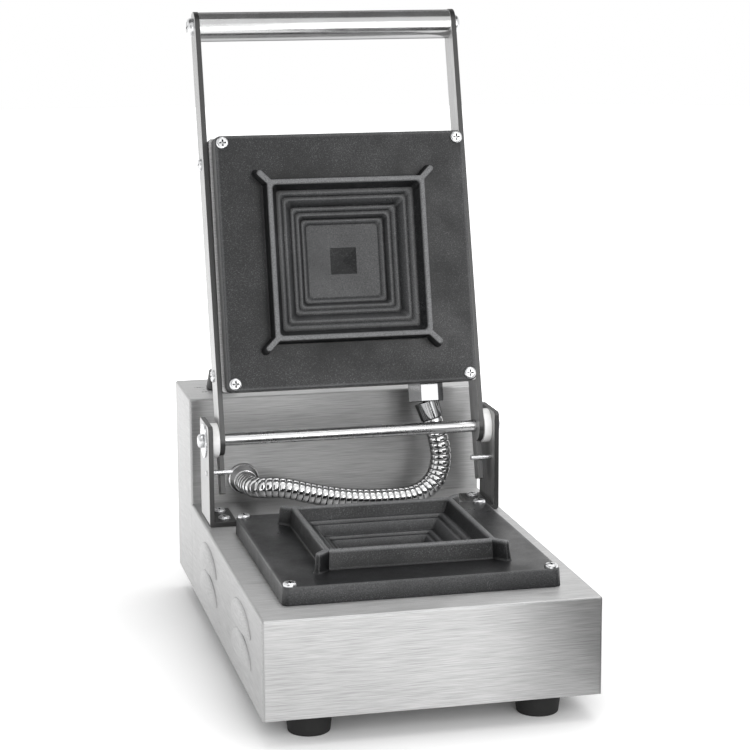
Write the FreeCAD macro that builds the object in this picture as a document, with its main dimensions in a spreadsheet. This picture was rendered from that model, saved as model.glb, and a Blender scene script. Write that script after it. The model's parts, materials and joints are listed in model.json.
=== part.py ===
"""Square stepped-mould baker: a base with a fixed lower plate, and a hinged lid with the same plate.

Millimetres, +Z up, +Y to the back, +X to the right as the user sees it.
The origin is on the floor, under the middle of the base. The lid is modelled open, resting on its stops.
"""
import FreeCAD, Part, Sketcher
import math
import os
import re

from FreeCAD import Vector

# Driving dimensions, in millimetres and degrees
SIZES = {
    # Base and control housing
    "base_height": 73.5, "box_depth": 82, "box_height": 164, "panel_setback": 58.6, "bracket_margin": 3.7,
    "sheet": 1.2, "fold_radius": 1.8, "lip_width": 13, "cover_recess": 4, "window_margin": 20,
    "shield_depth": 34,
    # Clearances
    "slack": 0.3, "running_gap": 0.05, "screw_gap": 0.1, "close_gap": 0.3, "hinge_play": 0.2,
    # Louvres
    "louvre_length": 80, "louvre_height": 17, "louvre_out": 4, "louvre_front": 88, "louvre_spacing": 157,
    "louvre_low": 22, "louvre_pitch": 23,
    # Feet
    "foot_height": 20, "foot_inset": 39, "foot_setback": 32, "foot_radius": 18, "foot_tip_radius": 15.5,
    "foot_bore_radius": 6.5, "foot_bore_depth": 11,
    # Baking plates
    "plate_size": 206.8, "plate_thickness": 13.6, "plate_draft": 0.65, "plate_corner": 5, "plate_front": 32,
    "screw_inset": 5.9, "rim_half": 65, "rim_height": 14.8, "rim_wall": 3.5, "rim_draft": 1.5,
    "rim_corner": 3, "ear_reach": 73.5, "ear_thickness": 4.5, "ear_draft": 2.5, "stair_corner": 3,
    "wall_1_depth": 10, "wall_1_inset": 4.5, "ledge_1": 3,
    "wall_2_depth": 2.5, "wall_2_inset": 2.5, "ledge_2": 2.5,
    "wall_3_depth": 7.5, "wall_3_inset": 5, "ledge_3": 2.2,
    "wall_4_depth": 2, "wall_4_inset": 2.2, "ledge_4": 2.6,
    "wall_5_depth": 5.5, "wall_5_inset": 2.6, "ledge_5": 2,
    "wall_6_depth": 2, "wall_6_inset": 2.4,
    "pyramid_half": 11, "pyramid_depth": 3.5, "pyramid_tip": 0.1, "well_wall": 8, "well_floor": 4,
    # Heating
    "opening_margin": 9.5, "heater_margin": 12, "heater_thickness": 8, "heater_clear": 3,
    "post_radius": 3, "post_length": 33, "post_spread": 12, "lead_radius": 1.75,
    "bulb_radius": 3, "bulb_length": 60, "capillary_radius": 1,
    # Lid
    "lean": 13.45, "plate_lift": 37.6, "face_drop": 24.5, "casing_side_gap": 2.25, "casing_inset": 0.4,
    "casing_depth": 41, "arm_thickness": 4.2, "arm_width": 25, "arm_lean": 2.2, "tail_reach": 44,
    "tail_front": 1, "handle_clear": 96.2, "handle_radius": 12, "handle_wall": 1.5, "plug_length": 20,
    "arm_screw_low_inset": 14, "arm_screw_high_inset": 18,
    # Hinge
    "rod_radius": 5, "bolt_radius": 3, "bolt_grip": 12, "bolt_head_radius": 5.75, "bolt_head_height": 4,
    "bush_radius": 14, "bush_length": 6.6, "spigot_radius": 6, "washer_radius": 14, "washer_thickness": 1.5,
    "bracket_thickness": 4, "bracket_front": 19.4, "bracket_back": 25.6, "bracket_above": 14.8,
    "bracket_corner": 3, "flange_width": 22.3, "flange_screw_in": 13.3, "flange_screw_front": 9,
    "flange_screw_back": 15, "stop_drop": 26.5, "stop_radius": 2, "stop_length": 17, "stop_rivet": 0.8,
    # Screws and nuts
    "medium_radius": 2.5, "medium_head": 5, "medium_cap": 2.6, "medium_flats": 8, "medium_nut": 4,
    "small_radius": 2, "small_head": 4, "small_cap": 2.2, "small_length": 8,
    "large_radius": 4, "large_head": 7.75, "large_cap": 5, "large_length": 14, "thread_end": 1,
    "recess_width": 1.3, "recess_depth": 1.6,
    # Conduit with its gland and connector
    "gland_x": -80.6, "gland_lift": 20.5, "gland_radius": 13, "gland_flange": 4, "gland_shoulder": 1,
    "gland_neck_length": 9, "gland_neck_radius": 9.6, "thread_radius": 8.6, "thread_length": 7,
    "locknut_flats": 22, "locknut_height": 4,
    "hose_radius": 8.7, "hose_root_radius": 7.9, "hose_bore_radius": 6.4, "rib_pitch": 5, "gland_run": 25,
    "neck_run": 19,
    "connector_x": 69.4, "connector_back": 16, "connector_flats": 26, "connector_length": 15.3,
    "neck_length": 15, "neck_radius": 10.3, "neck_tip_radius": 9.3, "connector_lean": 16,
    # Controls on the control housing's top
    "dial_inset": 34.4, "knob_radius": 13.5, "knob_top_radius": 11, "knob_height": 15, "knob_lift": 1,
    "knob_edge": 1.2, "knob_play": 0.5, "nose_radius": 4.8, "nose_height": 3,
    "nose_depth": 12, "knob_socket": 11,
    "spindle_radius": 3, "thermostat_size": 38, "thermostat_depth": 32, "timer_size": 46, "timer_depth": 38,
    "pointer_width": 1.4, "pointer_depth": 0.8,
    "switch_length": 30, "switch_width": 22, "bezel_lip": 2, "bezel_height": 2, "switch_depth": 26,
    "rocker_length": 24, "rocker_width": 15, "rocker_end": 4, "rocker_dip": 2.2, "rocker_under": 5,
    "rocker_room": 1.2, "rocker_tilt": 18, "pivot_radius": 1.5, "pivot_end": 2, "pivot_below": 0.5,
    "pocket_depth": 9,
    "lamp_x": 38, "lamp_radius": 4.8, "lamp_flange": 6.5, "lamp_flange_height": 1.5, "lamp_dome": 3,
    "lamp_depth": 22,
    # Terminals and the cord's way in
    "terminal_length": 60, "terminal_depth": 20, "terminal_height": 18, "terminal_setback": 25,
    "earth_x": 70, "earth_radius": 3, "earth_height": 15, "earth_base_radius": 6, "earth_base_height": 4,
    "grommet_x": -70, "grommet_lift": 30, "grommet_radius": 8, "grommet_bore": 4.5, "grommet_flange": 10.5,
    "grommet_lip": 2.5, "vent_length": 40, "vent_width": 3.5, "vent_pitch": 12, "vent_lift": 60,
}
STAIRS = range(1, 7)
VENT_ROWS = 5
RIB_STATIONS = ((0.0, "hose_root_radius"), (0.2, "hose_radius"), (0.7, "hose_radius"),
                (0.9, "hose_root_radius"))
# The conduit's corners between its ends: X, behind the hinge axis, and above its rest on the deck
CONDUIT_WAY = ((-58, 10.6, 14.4), (-27, 8.6, 5.7), (6, 5.1, 0.6), (34, 4.6, 0), (57, 7.6, 0),
               (74, 10.6, 10.2), (80.5, 12.6, 26.2))
# Part of the shorter run that a rounded corner takes up
CORNER_SHARE = 0.45

# Places and sizes that follow from the driving dimensions
DERIVED = {
    "plate_half": "plate_size / 2",
    "lid_reach": "plate_half + plate_lift",
    "base_depth": "plate_front + plate_half + lid_reach + panel_setback",
    "overall_depth": "base_depth + box_depth",
    "front_y": "-overall_depth / 2",
    "rear_y": "overall_depth / 2",
    "seam_y": "front_y + base_depth",
    "box_mid_y": "seam_y + box_depth / 2",
    "cover_y": "rear_y - cover_recess - sheet",
    "side_x": "bracket_out + bracket_margin",
    "inside_x": "side_x - sheet",
    "deck_z": "foot_height + base_height",
    "under_deck_z": "deck_z - sheet",
    "top_z": "foot_height + box_height",
    "under_top_z": "top_z - sheet",
    "floor_z": "foot_height + sheet",
    "lip_x": "inside_x - lip_width / 2",
    "plate_y": "front_y + plate_front + plate_half",
    "plate_z": "deck_z + plate_thickness",
    "screw_half": "plate_half - screw_inset",
    "mouth_half": "rim_half - rim_wall",
    "well_depth": " + ".join(f"wall_{i}_depth" for i in STAIRS),
    "floor_half": "mouth_half" + "".join(f" - wall_{i}_inset" for i in STAIRS)
                  + "".join(f" - ledge_{i}" for i in STAIRS[:-1]),
    "well_half": "floor_half + well_wall",
    "well_reach": "well_depth + pyramid_depth + well_floor - rim_height - plate_thickness",
    "stack": "max(heater_thickness; well_reach)",
    "opening_half": "screw_half - opening_margin",
    "pad_half": "opening_half - slack",
    "heater_half": "opening_half - heater_margin",
    "post_setback": "(well_half + heater_clear + heater_half) / 2",
    "shield_half": "screw_half + medium_flats",
    "shield_floor_z": "under_deck_z - shield_depth",
    "hinge_y": "plate_y + lid_reach",
    "hinge_z": "plate_z + 2 * rim_height + close_gap + face_drop",
    "plate_back": "face_drop - plate_thickness",
    "casing_half": "plate_half + plate_draft + casing_side_gap",
    "casing_width": "2 * casing_half",
    "casing_low": "plate_lift + casing_inset",
    "casing_high": "plate_lift + plate_size - casing_inset",
    "casing_back": "plate_back - casing_depth",
    "arm_half": "arm_width / 2",
    "arm_screw_low": "casing_low + arm_screw_low_inset",
    "arm_screw_high": "casing_high - arm_screw_high_inset",
    "handle_reach": "plate_lift + plate_size + handle_clear",
    "arm_out": "casing_half + arm_thickness",
    "arm_tilt": "lean + arm_lean",
    "bracket_in": "arm_out + hinge_play + bush_length",
    "bracket_out": "bracket_in + bracket_thickness",
    "flange_screw_x": "bracket_out - flange_screw_in",
    "pin_lift": "stop_radius + slack - tail_front",
    "pin_y": "hinge_y - stop_drop * sin(arm_tilt) - pin_lift * cos(arm_tilt)",
    "pin_z": "hinge_z - stop_drop * cos(arm_tilt) + pin_lift * sin(arm_tilt)",
    "medium_hole": "medium_radius + screw_gap",
    "small_hole": "small_radius + screw_gap",
    "gland_z": "deck_z + gland_lift",
    "gland_tip_y": "seam_y - gland_flange - gland_neck_length",
    "neck_start": "casing_low - connector_length",
    "terminal_y": "seam_y + terminal_setback",
    "bulb_y": "plate_y + (heater_half + opening_half) / 2",
    "bulb_z": "deck_z - bulb_radius - slack",
    "pivot_z": "top_z - pivot_below",
    "dial_x": "side_x - dial_inset",
    "foot_x": "side_x - foot_inset",
    "foot_front_y": "front_y + foot_setback",
    "foot_rear_y": "rear_y - foot_setback",
    "vent_z": "foot_height + vent_lift",
    "grommet_z": "foot_height + grommet_lift",
}

doc = FreeCAD.newDocument("baker")
sheet = doc.addObject("Spreadsheet::Sheet", "Sizes")
for row, (alias, size) in enumerate(SIZES.items(), start=1):
    sheet.set(f"A{row}", alias)
    sheet.set(f"B{row}", str(size))
    sheet.setAlias(f"B{row}", alias)
doc.recompute()
nodes = []


# Expressions and simple solids

def expand(text):
    """Writes a formula out in the sheet's own cells."""
    def swap(match):
        word = match.group(0)
        if word in DERIVED:
            return "(" + expand(DERIVED[word]) + ")"
        return "Sizes." + word if word in SIZES else word
    return re.sub(r"[A-Za-z_]\w*", swap, str(text))


def value(text):
    return float(sheet.evalExpression(expand(text)))


def bind(piece, **formulas):
    for name, text in formulas.items():
        piece.setExpression(name, expand(text))
    return piece


def place(piece, x="0", y="0", z="0", axis=(0, 0, 1), angle="0"):
    turn = "rotation(vector({}; {}; {}); {})".format(*axis, angle)
    return bind(piece, Placement=f"placement(vector({x}; {y}; {z}); {turn})")


def block(name, x, y, z):
    """A box between two formulas along each axis."""
    piece = doc.addObject("Part::Box", name)
    bind(piece, Length=f"({x[1]}) - ({x[0]})", Width=f"({y[1]}) - ({y[0]})", Height=f"({z[1]}) - ({z[0]})")
    return place(piece, x[0], y[0], z[0])


AXIS_TURN = {"x": ((0, 1, 0), "90"), "y": ((1, 0, 0), "-90"), "z": ((0, 0, 1), "0")}


def rod(name, axis, start, length, radius):
    """A cylinder that runs from start along +axis."""
    piece = doc.addObject("Part::Cylinder", name)
    bind(piece, Radius=radius, Height=length)
    return place(piece, *start, *AXIS_TURN[axis])


def cone(name, start, length, low_radius, high_radius):
    piece = doc.addObject("Part::Cone", name)
    bind(piece, Radius1=low_radius, Radius2=high_radius, Height=length)
    return place(piece, *start)


def frustum(name, low, high, z, turn="0"):
    """A four-sided block whose half-sizes go from low at z[0] to high at z[1], turned about Z."""
    piece = doc.addObject("Part::Wedge", name)
    bind(piece, Xmin=f"-({low[0]})", Xmax=low[0], Zmin=f"-({low[1]})", Zmax=low[1], Ymin=z[0])
    bind(piece, X2min=f"-({high[0]})", X2max=high[0], Z2min=f"-({high[1]})", Z2max=high[1], Ymax=z[1])
    turns = f"rotation(vector(0; 0; 1); {turn}) * rotation(vector(1; 0; 0); 90)"
    return bind(piece, Placement=f"placement(vector(0; 0; 0); {turns})")


def fuse(name, pieces):
    piece = doc.addObject("Part::MultiFuse", name)
    piece.Shapes = pieces
    piece.Refine = True
    return piece


def cut(name, base, tools):
    piece = doc.addObject("Part::Cut", name)
    piece.Base = base
    piece.Tool = tools[0] if len(tools) == 1 else fuse(name + "_tools", tools)
    piece.Refine = True
    return piece


def mirror(name, source):
    piece = doc.addObject("Part::Mirroring", name)
    piece.Source = source
    piece.Normal = Vector(1, 0, 0)
    return piece


def group(name, pieces):
    piece = doc.addObject("Part::Compound", name)
    piece.Links = pieces
    return piece


def copies(name, source, spots, axis=(0, 0, 1), angle="0"):
    """One group with the source at each spot."""
    made = []
    for number, spot in enumerate(spots, start=1):
        copy = group(f"{name}_{number}", [source])
        made.append(place(copy, *spot, axis, angle))
    return group(name, made)


def soften(name, base, radius, pick):
    """Rounds the edges that pick chooses by their middle and their direction."""
    doc.recompute()
    piece = doc.addObject("Part::Fillet", name)
    piece.Base = base
    size = value(radius)
    chosen = []
    for number, edge in enumerate(base.Shape.Edges, start=1):
        middle = edge.CenterOfMass
        ends = [vertex.Point for vertex in edge.Vertexes]
        along = (ends[-1] - ends[0]).normalize() if len(ends) > 1 else Vector(0, 0, 0)
        if pick(middle, along):
            chosen.append((number, size, size))
    piece.Edges = chosen
    return piece


def node(label, piece):
    piece.Label = label
    nodes.append(piece)
    return piece


def lid_place(piece, tilt="lean"):
    """Lid pieces are drawn with Y along the lid from the hinge axis and Z out of the plate's face."""
    return place(piece, "0", "hinge_y", "hinge_z", (1, 0, 0), f"90 - ({tilt})")


def corner_spots(middle_y, z):
    return [(f"{a} * screw_half", f"({middle_y}) + ({b}) * screw_half", z) for a in (-1, 1) for b in (-1, 1)]


# Screws and nuts, drawn with the head above z = 0 and the shank below

def pan_screw(name, size, length):
    cap = rod(name + "_cap", "z", ("0", "0", "0"), f"{size}_cap", f"{size}_head")
    top = value(f"{size}_cap")
    dome = soften(name + "_dome", cap, f"0.7 * {size}_cap", lambda middle, along: middle.z > top - 0.01)
    shank = rod(name + "_shank", "z", ("0", "0", f"-({length})"), length, f"{size}_radius")
    arm = f"0.55 * {size}_head"
    slot = ("-recess_width / 2", "recess_width / 2")
    depth = (f"{size}_cap - recess_depth", f"{size}_cap + 1")
    cross = [block(name + "_slot", (f"-{arm}", arm), slot, depth),
             block(name + "_bar", slot, (f"-{arm}", arm), depth)]
    return cut(name, fuse(name + "_blank", [dome, shank]), cross)


def hex_nut(name, flats, height, bore):
    prism = doc.addObject("Part::Prism", name + "_prism")
    prism.Polygon = 6
    bind(prism, Circumradius=f"({flats}) / sqrt(3)", Height=height)
    return cut(name, prism, [rod(name + "_bore", "z", ("0", "0", "-1"), f"({height}) + 2", bore)])


# Base housing, control housing and covers

def base_housing():
    body = block("housing_block", ("-side_x", "side_x"), ("front_y", "seam_y"), ("foot_height", "deck_z"))
    front, top, side = value("front_y"), value("deck_z"), value("side_x")

    def folded(middle, along):
        on_top = middle.z > top - 0.01 and middle.y < value("seam_y") - 0.01
        upright_front = abs(along.z) > 0.9 and middle.y < front + 0.01
        return on_top or upright_front and abs(middle.x) > side - 0.01
    shell = soften("housing_folds", body, "fold_radius", folded)
    hoods, hollows = louvres()
    inside = block("housing_inside", ("-inside_x", "inside_x"), ("front_y + sheet", "seam_y + 1"),
                   ("foot_height - 1", "under_deck_z"))
    walls = cut("housing_walls", fuse("housing_hoods", [shell] + hoods), [inside])
    lips = bottom_lips("housing", "front_y + sheet", "seam_y")
    lips.append(block("housing_lip_front", ("-inside_x", "inside_x"),
                      ("front_y + sheet", "front_y + sheet + lip_width"),
                      ("floor_z", "floor_z + sheet")))
    opening = block("deck_opening", ("-opening_half", "opening_half"),
                    ("plate_y - opening_half", "plate_y + opening_half"),
                    ("under_deck_z - 1", "deck_z + 1"))
    holes = deck_holes() + bottom_screw_holes("housing", bottom_screw_rows()[:2])
    node("base_housing", cut("housing", fuse("housing_lips", [walls] + lips), hollows + [opening] + holes))


def louvres():
    """Half-round hoods pressed out of both sides, open underneath."""
    hoods, hollows = [], []
    for side in (-1, 1):
        for column in (0, 1):
            for row in (0, 1):
                spot = (f"{side} * side_x", f"front_y + louvre_front + {column} * louvre_spacing",
                        f"foot_height + louvre_low + {row} * louvre_pitch")
                for made, wall in ((hoods, "0"), (hollows, "sheet")):
                    hood = doc.addObject("Part::Ellipsoid", "louvre")
                    bind(hood, Radius1=f"louvre_out - {wall}", Radius2=f"louvre_length / 2 - {wall}",
                         Radius3=f"louvre_height - {wall}", Angle3="180")
                    made.append(place(hood, *spot, (1, 1, 1), "120"))
    return hoods, hollows


def bottom_lips(name, start_y, end_y):
    """Inward lips along both sides, on top of the bottom cover."""
    level = ("floor_z", "floor_z + sheet")
    left = block(name + "_lip_left", ("-inside_x", "-inside_x + lip_width"), (start_y, end_y), level)
    right = block(name + "_lip_right", ("inside_x - lip_width", "inside_x"), (start_y, end_y), level)
    return [left, right]


def bottom_screw_rows():
    return ["front_y + base_depth / 4", "front_y + 3 * base_depth / 4", "box_mid_y"]


def bottom_screw_holes(name, rows):
    return [rod(f"{name}_lip_hole", "z", (f"{side} * lip_x", y, "foot_height - 1"), "3 * sheet + 2",
                "small_hole")
            for side in (-1, 1) for y in rows]


def deck_holes():
    holes = [rod("plate_hole", "z", (x, y, "under_deck_z - 1"), "sheet + 2", "medium_hole")
             for x, y, _ in corner_spots("plate_y", "0")]
    for side in (-1, 1):
        for y in ("hinge_y - flange_screw_front", "hinge_y + flange_screw_back"):
            holes.append(rod("flange_hole", "z", (f"{side} * flange_screw_x", y, "under_deck_z - 1"),
                             "sheet + 2", "medium_hole"))
    return holes


def control_housing():
    body = block("control_block", ("-side_x", "side_x"), ("seam_y", "rear_y"), ("foot_height", "top_z"))
    seam, top, rear, side = value("seam_y"), value("top_z"), value("rear_y"), value("side_x")

    def folded(middle, along):
        on_top = middle.z > top - 0.01 and middle.y < rear - 0.01
        upright_front = abs(along.z) > 0.9 and middle.y < seam + 0.01
        return on_top or upright_front and abs(middle.x) > side - 0.01
    shell = soften("control_folds", body, "fold_radius", folded)
    inside = block("control_inside", ("-inside_x", "inside_x"), ("seam_y + sheet", "rear_y + 1"),
                   ("foot_height - 1", "under_top_z"))
    lips = bottom_lips("control", "seam_y + sheet", "cover_y - sheet")
    level = ("cover_y - sheet", "cover_y")
    lips.append(block("rear_lip_left", ("-inside_x", "-inside_x + lip_width"), level,
                      ("floor_z", "under_top_z")))
    lips.append(block("rear_lip_right", ("inside_x - lip_width", "inside_x"), level,
                      ("floor_z", "under_top_z")))
    lips.append(block("rear_lip_top", ("-inside_x", "inside_x"), level,
                      ("under_top_z - lip_width", "under_top_z")))
    window = block("panel_window", ("-side_x + window_margin", "side_x - window_margin"),
                   ("seam_y - 1", "seam_y + sheet + 1"),
                   ("floor_z + 2 * sheet", "deck_z - window_margin / 2"))
    foot_gap = block("panel_foot_gap", ("-inside_x", "inside_x"), ("seam_y - 1", "seam_y + sheet"),
                     ("foot_height - 1", "floor_z"))
    holes = [window, foot_gap, rod("panel_gland_hole", "y", ("gland_x", "seam_y - 1", "gland_z"), "sheet + 2",
                         "thread_radius + screw_gap")]
    for x in ("-dial_x", "dial_x"):
        holes.append(rod("nose_hole", "z", (x, "box_mid_y", "under_top_z - 1"), "sheet + 2",
                         "nose_radius + screw_gap"))
    for x in ("-lamp_x", "lamp_x"):
        holes.append(rod("lamp_hole", "z", (x, "box_mid_y", "under_top_z - 1"), "sheet + 2",
                         "lamp_radius + screw_gap"))
    holes.append(block("switch_hole", ("-switch_width / 2", "switch_width / 2"),
                       ("box_mid_y - switch_length / 2", "box_mid_y + switch_length / 2"),
                       ("under_top_z - 1", "top_z + 1")))
    holes += bottom_screw_holes("control", bottom_screw_rows()[2:]) + rear_screw_holes("control")
    walls = cut("control_walls", shell, [inside])
    node("control_housing", cut("control", fuse("control_lips", [walls] + lips), holes))


def rear_screw_spots():
    levels = ("floor_z + box_height / 6", "floor_z + box_height / 2", "floor_z + 5 * box_height / 6")
    return [(f"{side} * lip_x", "cover_y + sheet", z) for side in (-1, 1) for z in levels]


def rear_screw_holes(name):
    return [rod(f"{name}_rear_hole", "y", (x, "cover_y - sheet - 1", z), "2 * sheet + 2", "small_hole")
            for x, _, z in rear_screw_spots()]


def rear_cover():
    plate = block("rear_plate", ("-inside_x + slack", "inside_x - slack"), ("cover_y", "cover_y + sheet"),
                  ("floor_z", "under_top_z - slack"))
    holes = rear_screw_holes("cover")
    for row in range(VENT_ROWS):
        low = f"vent_z + {row} * vent_pitch"
        for side in (-1, 1):
            middle = f"{side} * vent_length * 0.75"
            holes.append(block("vent", (f"{middle} - vent_length / 2", f"{middle} + vent_length / 2"),
                               ("cover_y - 1", "cover_y + sheet + 1"), (low, f"{low} + vent_width")))
    holes.append(rod("grommet_hole", "y", ("grommet_x", "cover_y - 1", "grommet_z"), "sheet + 2",
                     "grommet_radius + screw_gap"))
    node("rear_cover", cut("rear", plate, holes))
    screw = pan_screw("rear_screw", "small", "small_length")
    node("rear_cover_screws", copies("rear_screws", screw, rear_screw_spots(), (1, 0, 0), "-90"))


def cord_grommet():
    """Rubber bush in the rear cover, with a lip on both faces of the sheet."""
    spot = ("grommet_x", "cover_y - grommet_lip", "grommet_z")
    barrel = rod("grommet_barrel", "y", spot, "sheet + 2 * grommet_lip", "grommet_radius")
    inner = rod("grommet_inner", "y", spot, "grommet_lip", "grommet_flange")
    outer = rod("grommet_outer", "y", ("grommet_x", "cover_y + sheet", "grommet_z"), "grommet_lip",
                "grommet_flange")
    bore = rod("grommet_way", "y", ("grommet_x", "cover_y - grommet_lip - 1", "grommet_z"),
               "sheet + 2 * grommet_lip + 2", "grommet_bore")
    node("cord_grommet", cut("grommet", fuse("grommet_solid", [barrel, inner, outer]), [bore]))


def bottom_cover():
    plate = block("bottom_plate", ("-inside_x + slack", "inside_x - slack"),
                  ("front_y + sheet + slack", "cover_y + sheet"),
                  ("foot_height", "floor_z"))
    holes = bottom_screw_holes("cover", bottom_screw_rows())
    for x, y, _ in foot_spots("0"):
        holes.append(rod("foot_hole", "z", (x, y, "foot_height - 1"), "sheet + 2", "medium_hole"))
    node("bottom_cover", cut("bottom", plate, holes))
    screw = pan_screw("bottom_screw", "small", "small_length")
    spots = [(f"{side} * lip_x", y, "foot_height") for side in (-1, 1) for y in bottom_screw_rows()]
    node("bottom_cover_screws", copies("bottom_screws", screw, spots, (1, 0, 0), "180"))


def foot_spots(z):
    return [(f"{side} * foot_x", y, z) for side in (-1, 1) for y in ("foot_front_y", "foot_rear_y")]


def feet():
    body = cone("foot_cone", ("0", "0", "0"), "foot_height", "foot_tip_radius", "foot_radius")
    bore = rod("foot_bore", "z", ("0", "0", "-1"), "foot_bore_depth + 1", "foot_bore_radius")
    way = rod("foot_way", "z", ("0", "0", "0"), "foot_height + 1", "medium_hole")
    node("rubber_feet", copies("feet", cut("foot", body, [bore, way]), foot_spots("0")))
    length = "foot_height - foot_bore_depth + sheet + medium_nut + thread_end"
    screw = pan_screw("foot_screw", "medium", length)
    node("foot_screws", copies("foot_bolts", screw, foot_spots("foot_bore_depth"), (1, 0, 0), "180"))
    nut = hex_nut("foot_nut", "medium_flats", "medium_nut", "medium_radius + running_gap")
    node("foot_nuts", copies("foot_hexes", nut, foot_spots("floor_z")))


# Baking plates: drawn with the flat face at z = 0 and the rim above it

def baking_plate(name):
    """The square casting: slab, raised rim with corner ears, stepped well and small pyramid in the floor."""
    def uprights(middle, along):
        return abs(along.z) > 0.5
    edge = "plate_half + plate_draft"
    slab = frustum(name + "_slab", (edge, edge), ("plate_half", "plate_half"), ("-plate_thickness", "0"))
    slab = soften(name + "_slab_corners", slab, "plate_corner", uprights)
    foot = "rim_half + rim_draft"
    rim = frustum(name + "_rim", (foot, foot), ("rim_half", "rim_half"), ("0", "rim_height"))
    rim = soften(name + "_rim_corners", rim, "rim_corner", uprights)
    tip = "ear_reach * sqrt(2)"
    ears = [frustum(f"{name}_ear", (tip, "ear_thickness / 2"), (f"{tip} - ear_draft", "0.4 * ear_thickness"),
                    ("0", "rim_height"), turn) for turn in ("45", "-45")]
    wells = frustum(name + "_well", ("well_half", "well_half"), ("well_half", "well_half"),
                    ("-plate_thickness - well_reach", "-plate_thickness / 2"))
    half, level = "mouth_half", "rim_height"
    hollows = []
    for number in STAIRS:
        low_half = f"{half} - wall_{number}_inset"
        low_level = f"{level} - wall_{number}_depth"
        above = "1" if number == 1 else "0"
        high_half = f"{half} + {above} * wall_{number}_inset / wall_{number}_depth"
        step = frustum(f"{name}_step_{number}", (low_half, low_half), (high_half, high_half),
                       (low_level, f"{level} + {above}"))
        hollows.append(soften(f"{name}_step_corners_{number}", step, "stair_corner", uprights))
        half = f"{low_half} - ledge_{number}" if number < STAIRS[-1] else low_half
        level = low_level
    hollows.append(frustum(name + "_pyramid", ("pyramid_tip", "pyramid_tip"),
                           ("pyramid_half", "pyramid_half"),
                           (f"{level} - pyramid_depth", level)))
    for x, y, _ in corner_spots("0", "0"):
        hollows.append(rod(name + "_hole", "z", (x, y, "-plate_thickness - 1"), "plate_thickness + 2",
                           "medium_hole"))
    return cut(name, fuse(name + "_solid", [slab, rim, wells] + ears), hollows)


def heater(name, post_length):
    """Square ring element against the plate's back, with two terminal posts."""
    level = ("-plate_thickness - heater_thickness", "-plate_thickness")
    ring = block(name + "_ring", ("-heater_half", "heater_half"), ("-heater_half", "heater_half"), level)
    eye = "well_half + heater_clear"
    hole = block(name + "_eye", (f"-({eye})", eye), (f"-({eye})", eye),
                 (f"{level[0]} - 1", f"{level[1]} + 1"))
    low = f"{level[0]} - {post_length}"
    posts = [rod(name + "_post", "z", (f"{side} * post_spread", "post_setback", low), post_length,
                 "post_radius") for side in (-1, 1)]
    return fuse(name, [cut(name + "_frame", ring, [hole])] + posts)


def pad_pockets(name, low):
    """Room in an insulation pad for the element, the well and the posts."""
    room = "heater_half + slack"
    pocket = block(name + "_pocket", (f"-({room})", room), (f"-({room})", room),
                   ("-plate_thickness - stack", "1"))
    posts = [rod(name + "_post_way", "z", (f"{side} * post_spread", "post_setback", f"{low} - 1"),
                 "2 * post_length", "post_radius + slack") for side in (-1, 1)]
    return [pocket] + posts


def lower_plate_group():
    node("lower_plate", place(baking_plate("lower_casting"), "0", "plate_y", "plate_z"))
    grip = "plate_thickness + 2 * sheet"
    screw = pan_screw("lower_screw", "medium", f"{grip} + medium_nut + thread_end")
    node("lower_plate_screws", copies("lower_screws", screw, corner_spots("plate_y", "plate_z")))
    nut = hex_nut("lower_nut", "medium_flats", "medium_nut", "medium_radius + running_gap")
    node("lower_plate_nuts", copies("lower_nuts", nut,
                                    corner_spots("plate_y", "under_deck_z - sheet - medium_nut")))
    node("lower_heater", place(heater("lower_element", "post_length"), "0", "plate_y", "plate_z"))
    low = "-plate_thickness - sheet - shield_depth"
    wool = block("lower_wool", ("-pad_half", "pad_half"), ("-pad_half", "pad_half"),
                 (low, "-plate_thickness"))
    groove = block("bulb_groove", ("-bulb_length", "bulb_length"), ("heater_half", "opening_half"),
                   ("-plate_thickness - 2 * bulb_radius - 2 * slack", "0"))
    pad = cut("lower_pad", wool, pad_pockets("lower", low) + [groove])
    node("lower_insulation", place(pad, "0", "plate_y", "plate_z"))


def heat_shield():
    """Tray under the deck that holds the lower insulation."""
    outer = "opening_half + sheet"
    tray = block("shield_tray", (f"-({outer})", outer), (f"plate_y - ({outer})", f"plate_y + {outer}"),
                 ("shield_floor_z - sheet", "under_deck_z"))
    flange = block("shield_flange", ("-shield_half", "shield_half"),
                   ("plate_y - shield_half", "plate_y + shield_half"),
                   ("under_deck_z - sheet", "under_deck_z"))
    room = block("shield_room", ("-opening_half", "opening_half"),
                 ("plate_y - opening_half", "plate_y + opening_half"),
                 ("shield_floor_z", "under_deck_z + 1"))
    holes = [rod("shield_hole", "z", (x, y, "under_deck_z - sheet - 1"), "sheet + 2", "medium_hole")
             for x, y, _ in corner_spots("plate_y", "0")]
    for side in (-1, 1):
        holes.append(rod("shield_post_way", "z",
                         (f"{side} * post_spread", "plate_y + post_setback", "shield_floor_z - sheet - 1"),
                         "sheet + 2", "post_radius + 2 * slack"))
    notch = block("shield_notch", ("-bulb_length", "-bulb_length / 2"),
                  ("plate_y + opening_half - 1", f"plate_y + {outer} + 1"),
                  ("bulb_z - 2 * bulb_radius", "under_deck_z - sheet"))
    node("lower_heat_shield", cut("shield", fuse("shield_sheet", [tray, flange]), [room, notch] + holes))


# Hinge

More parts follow.
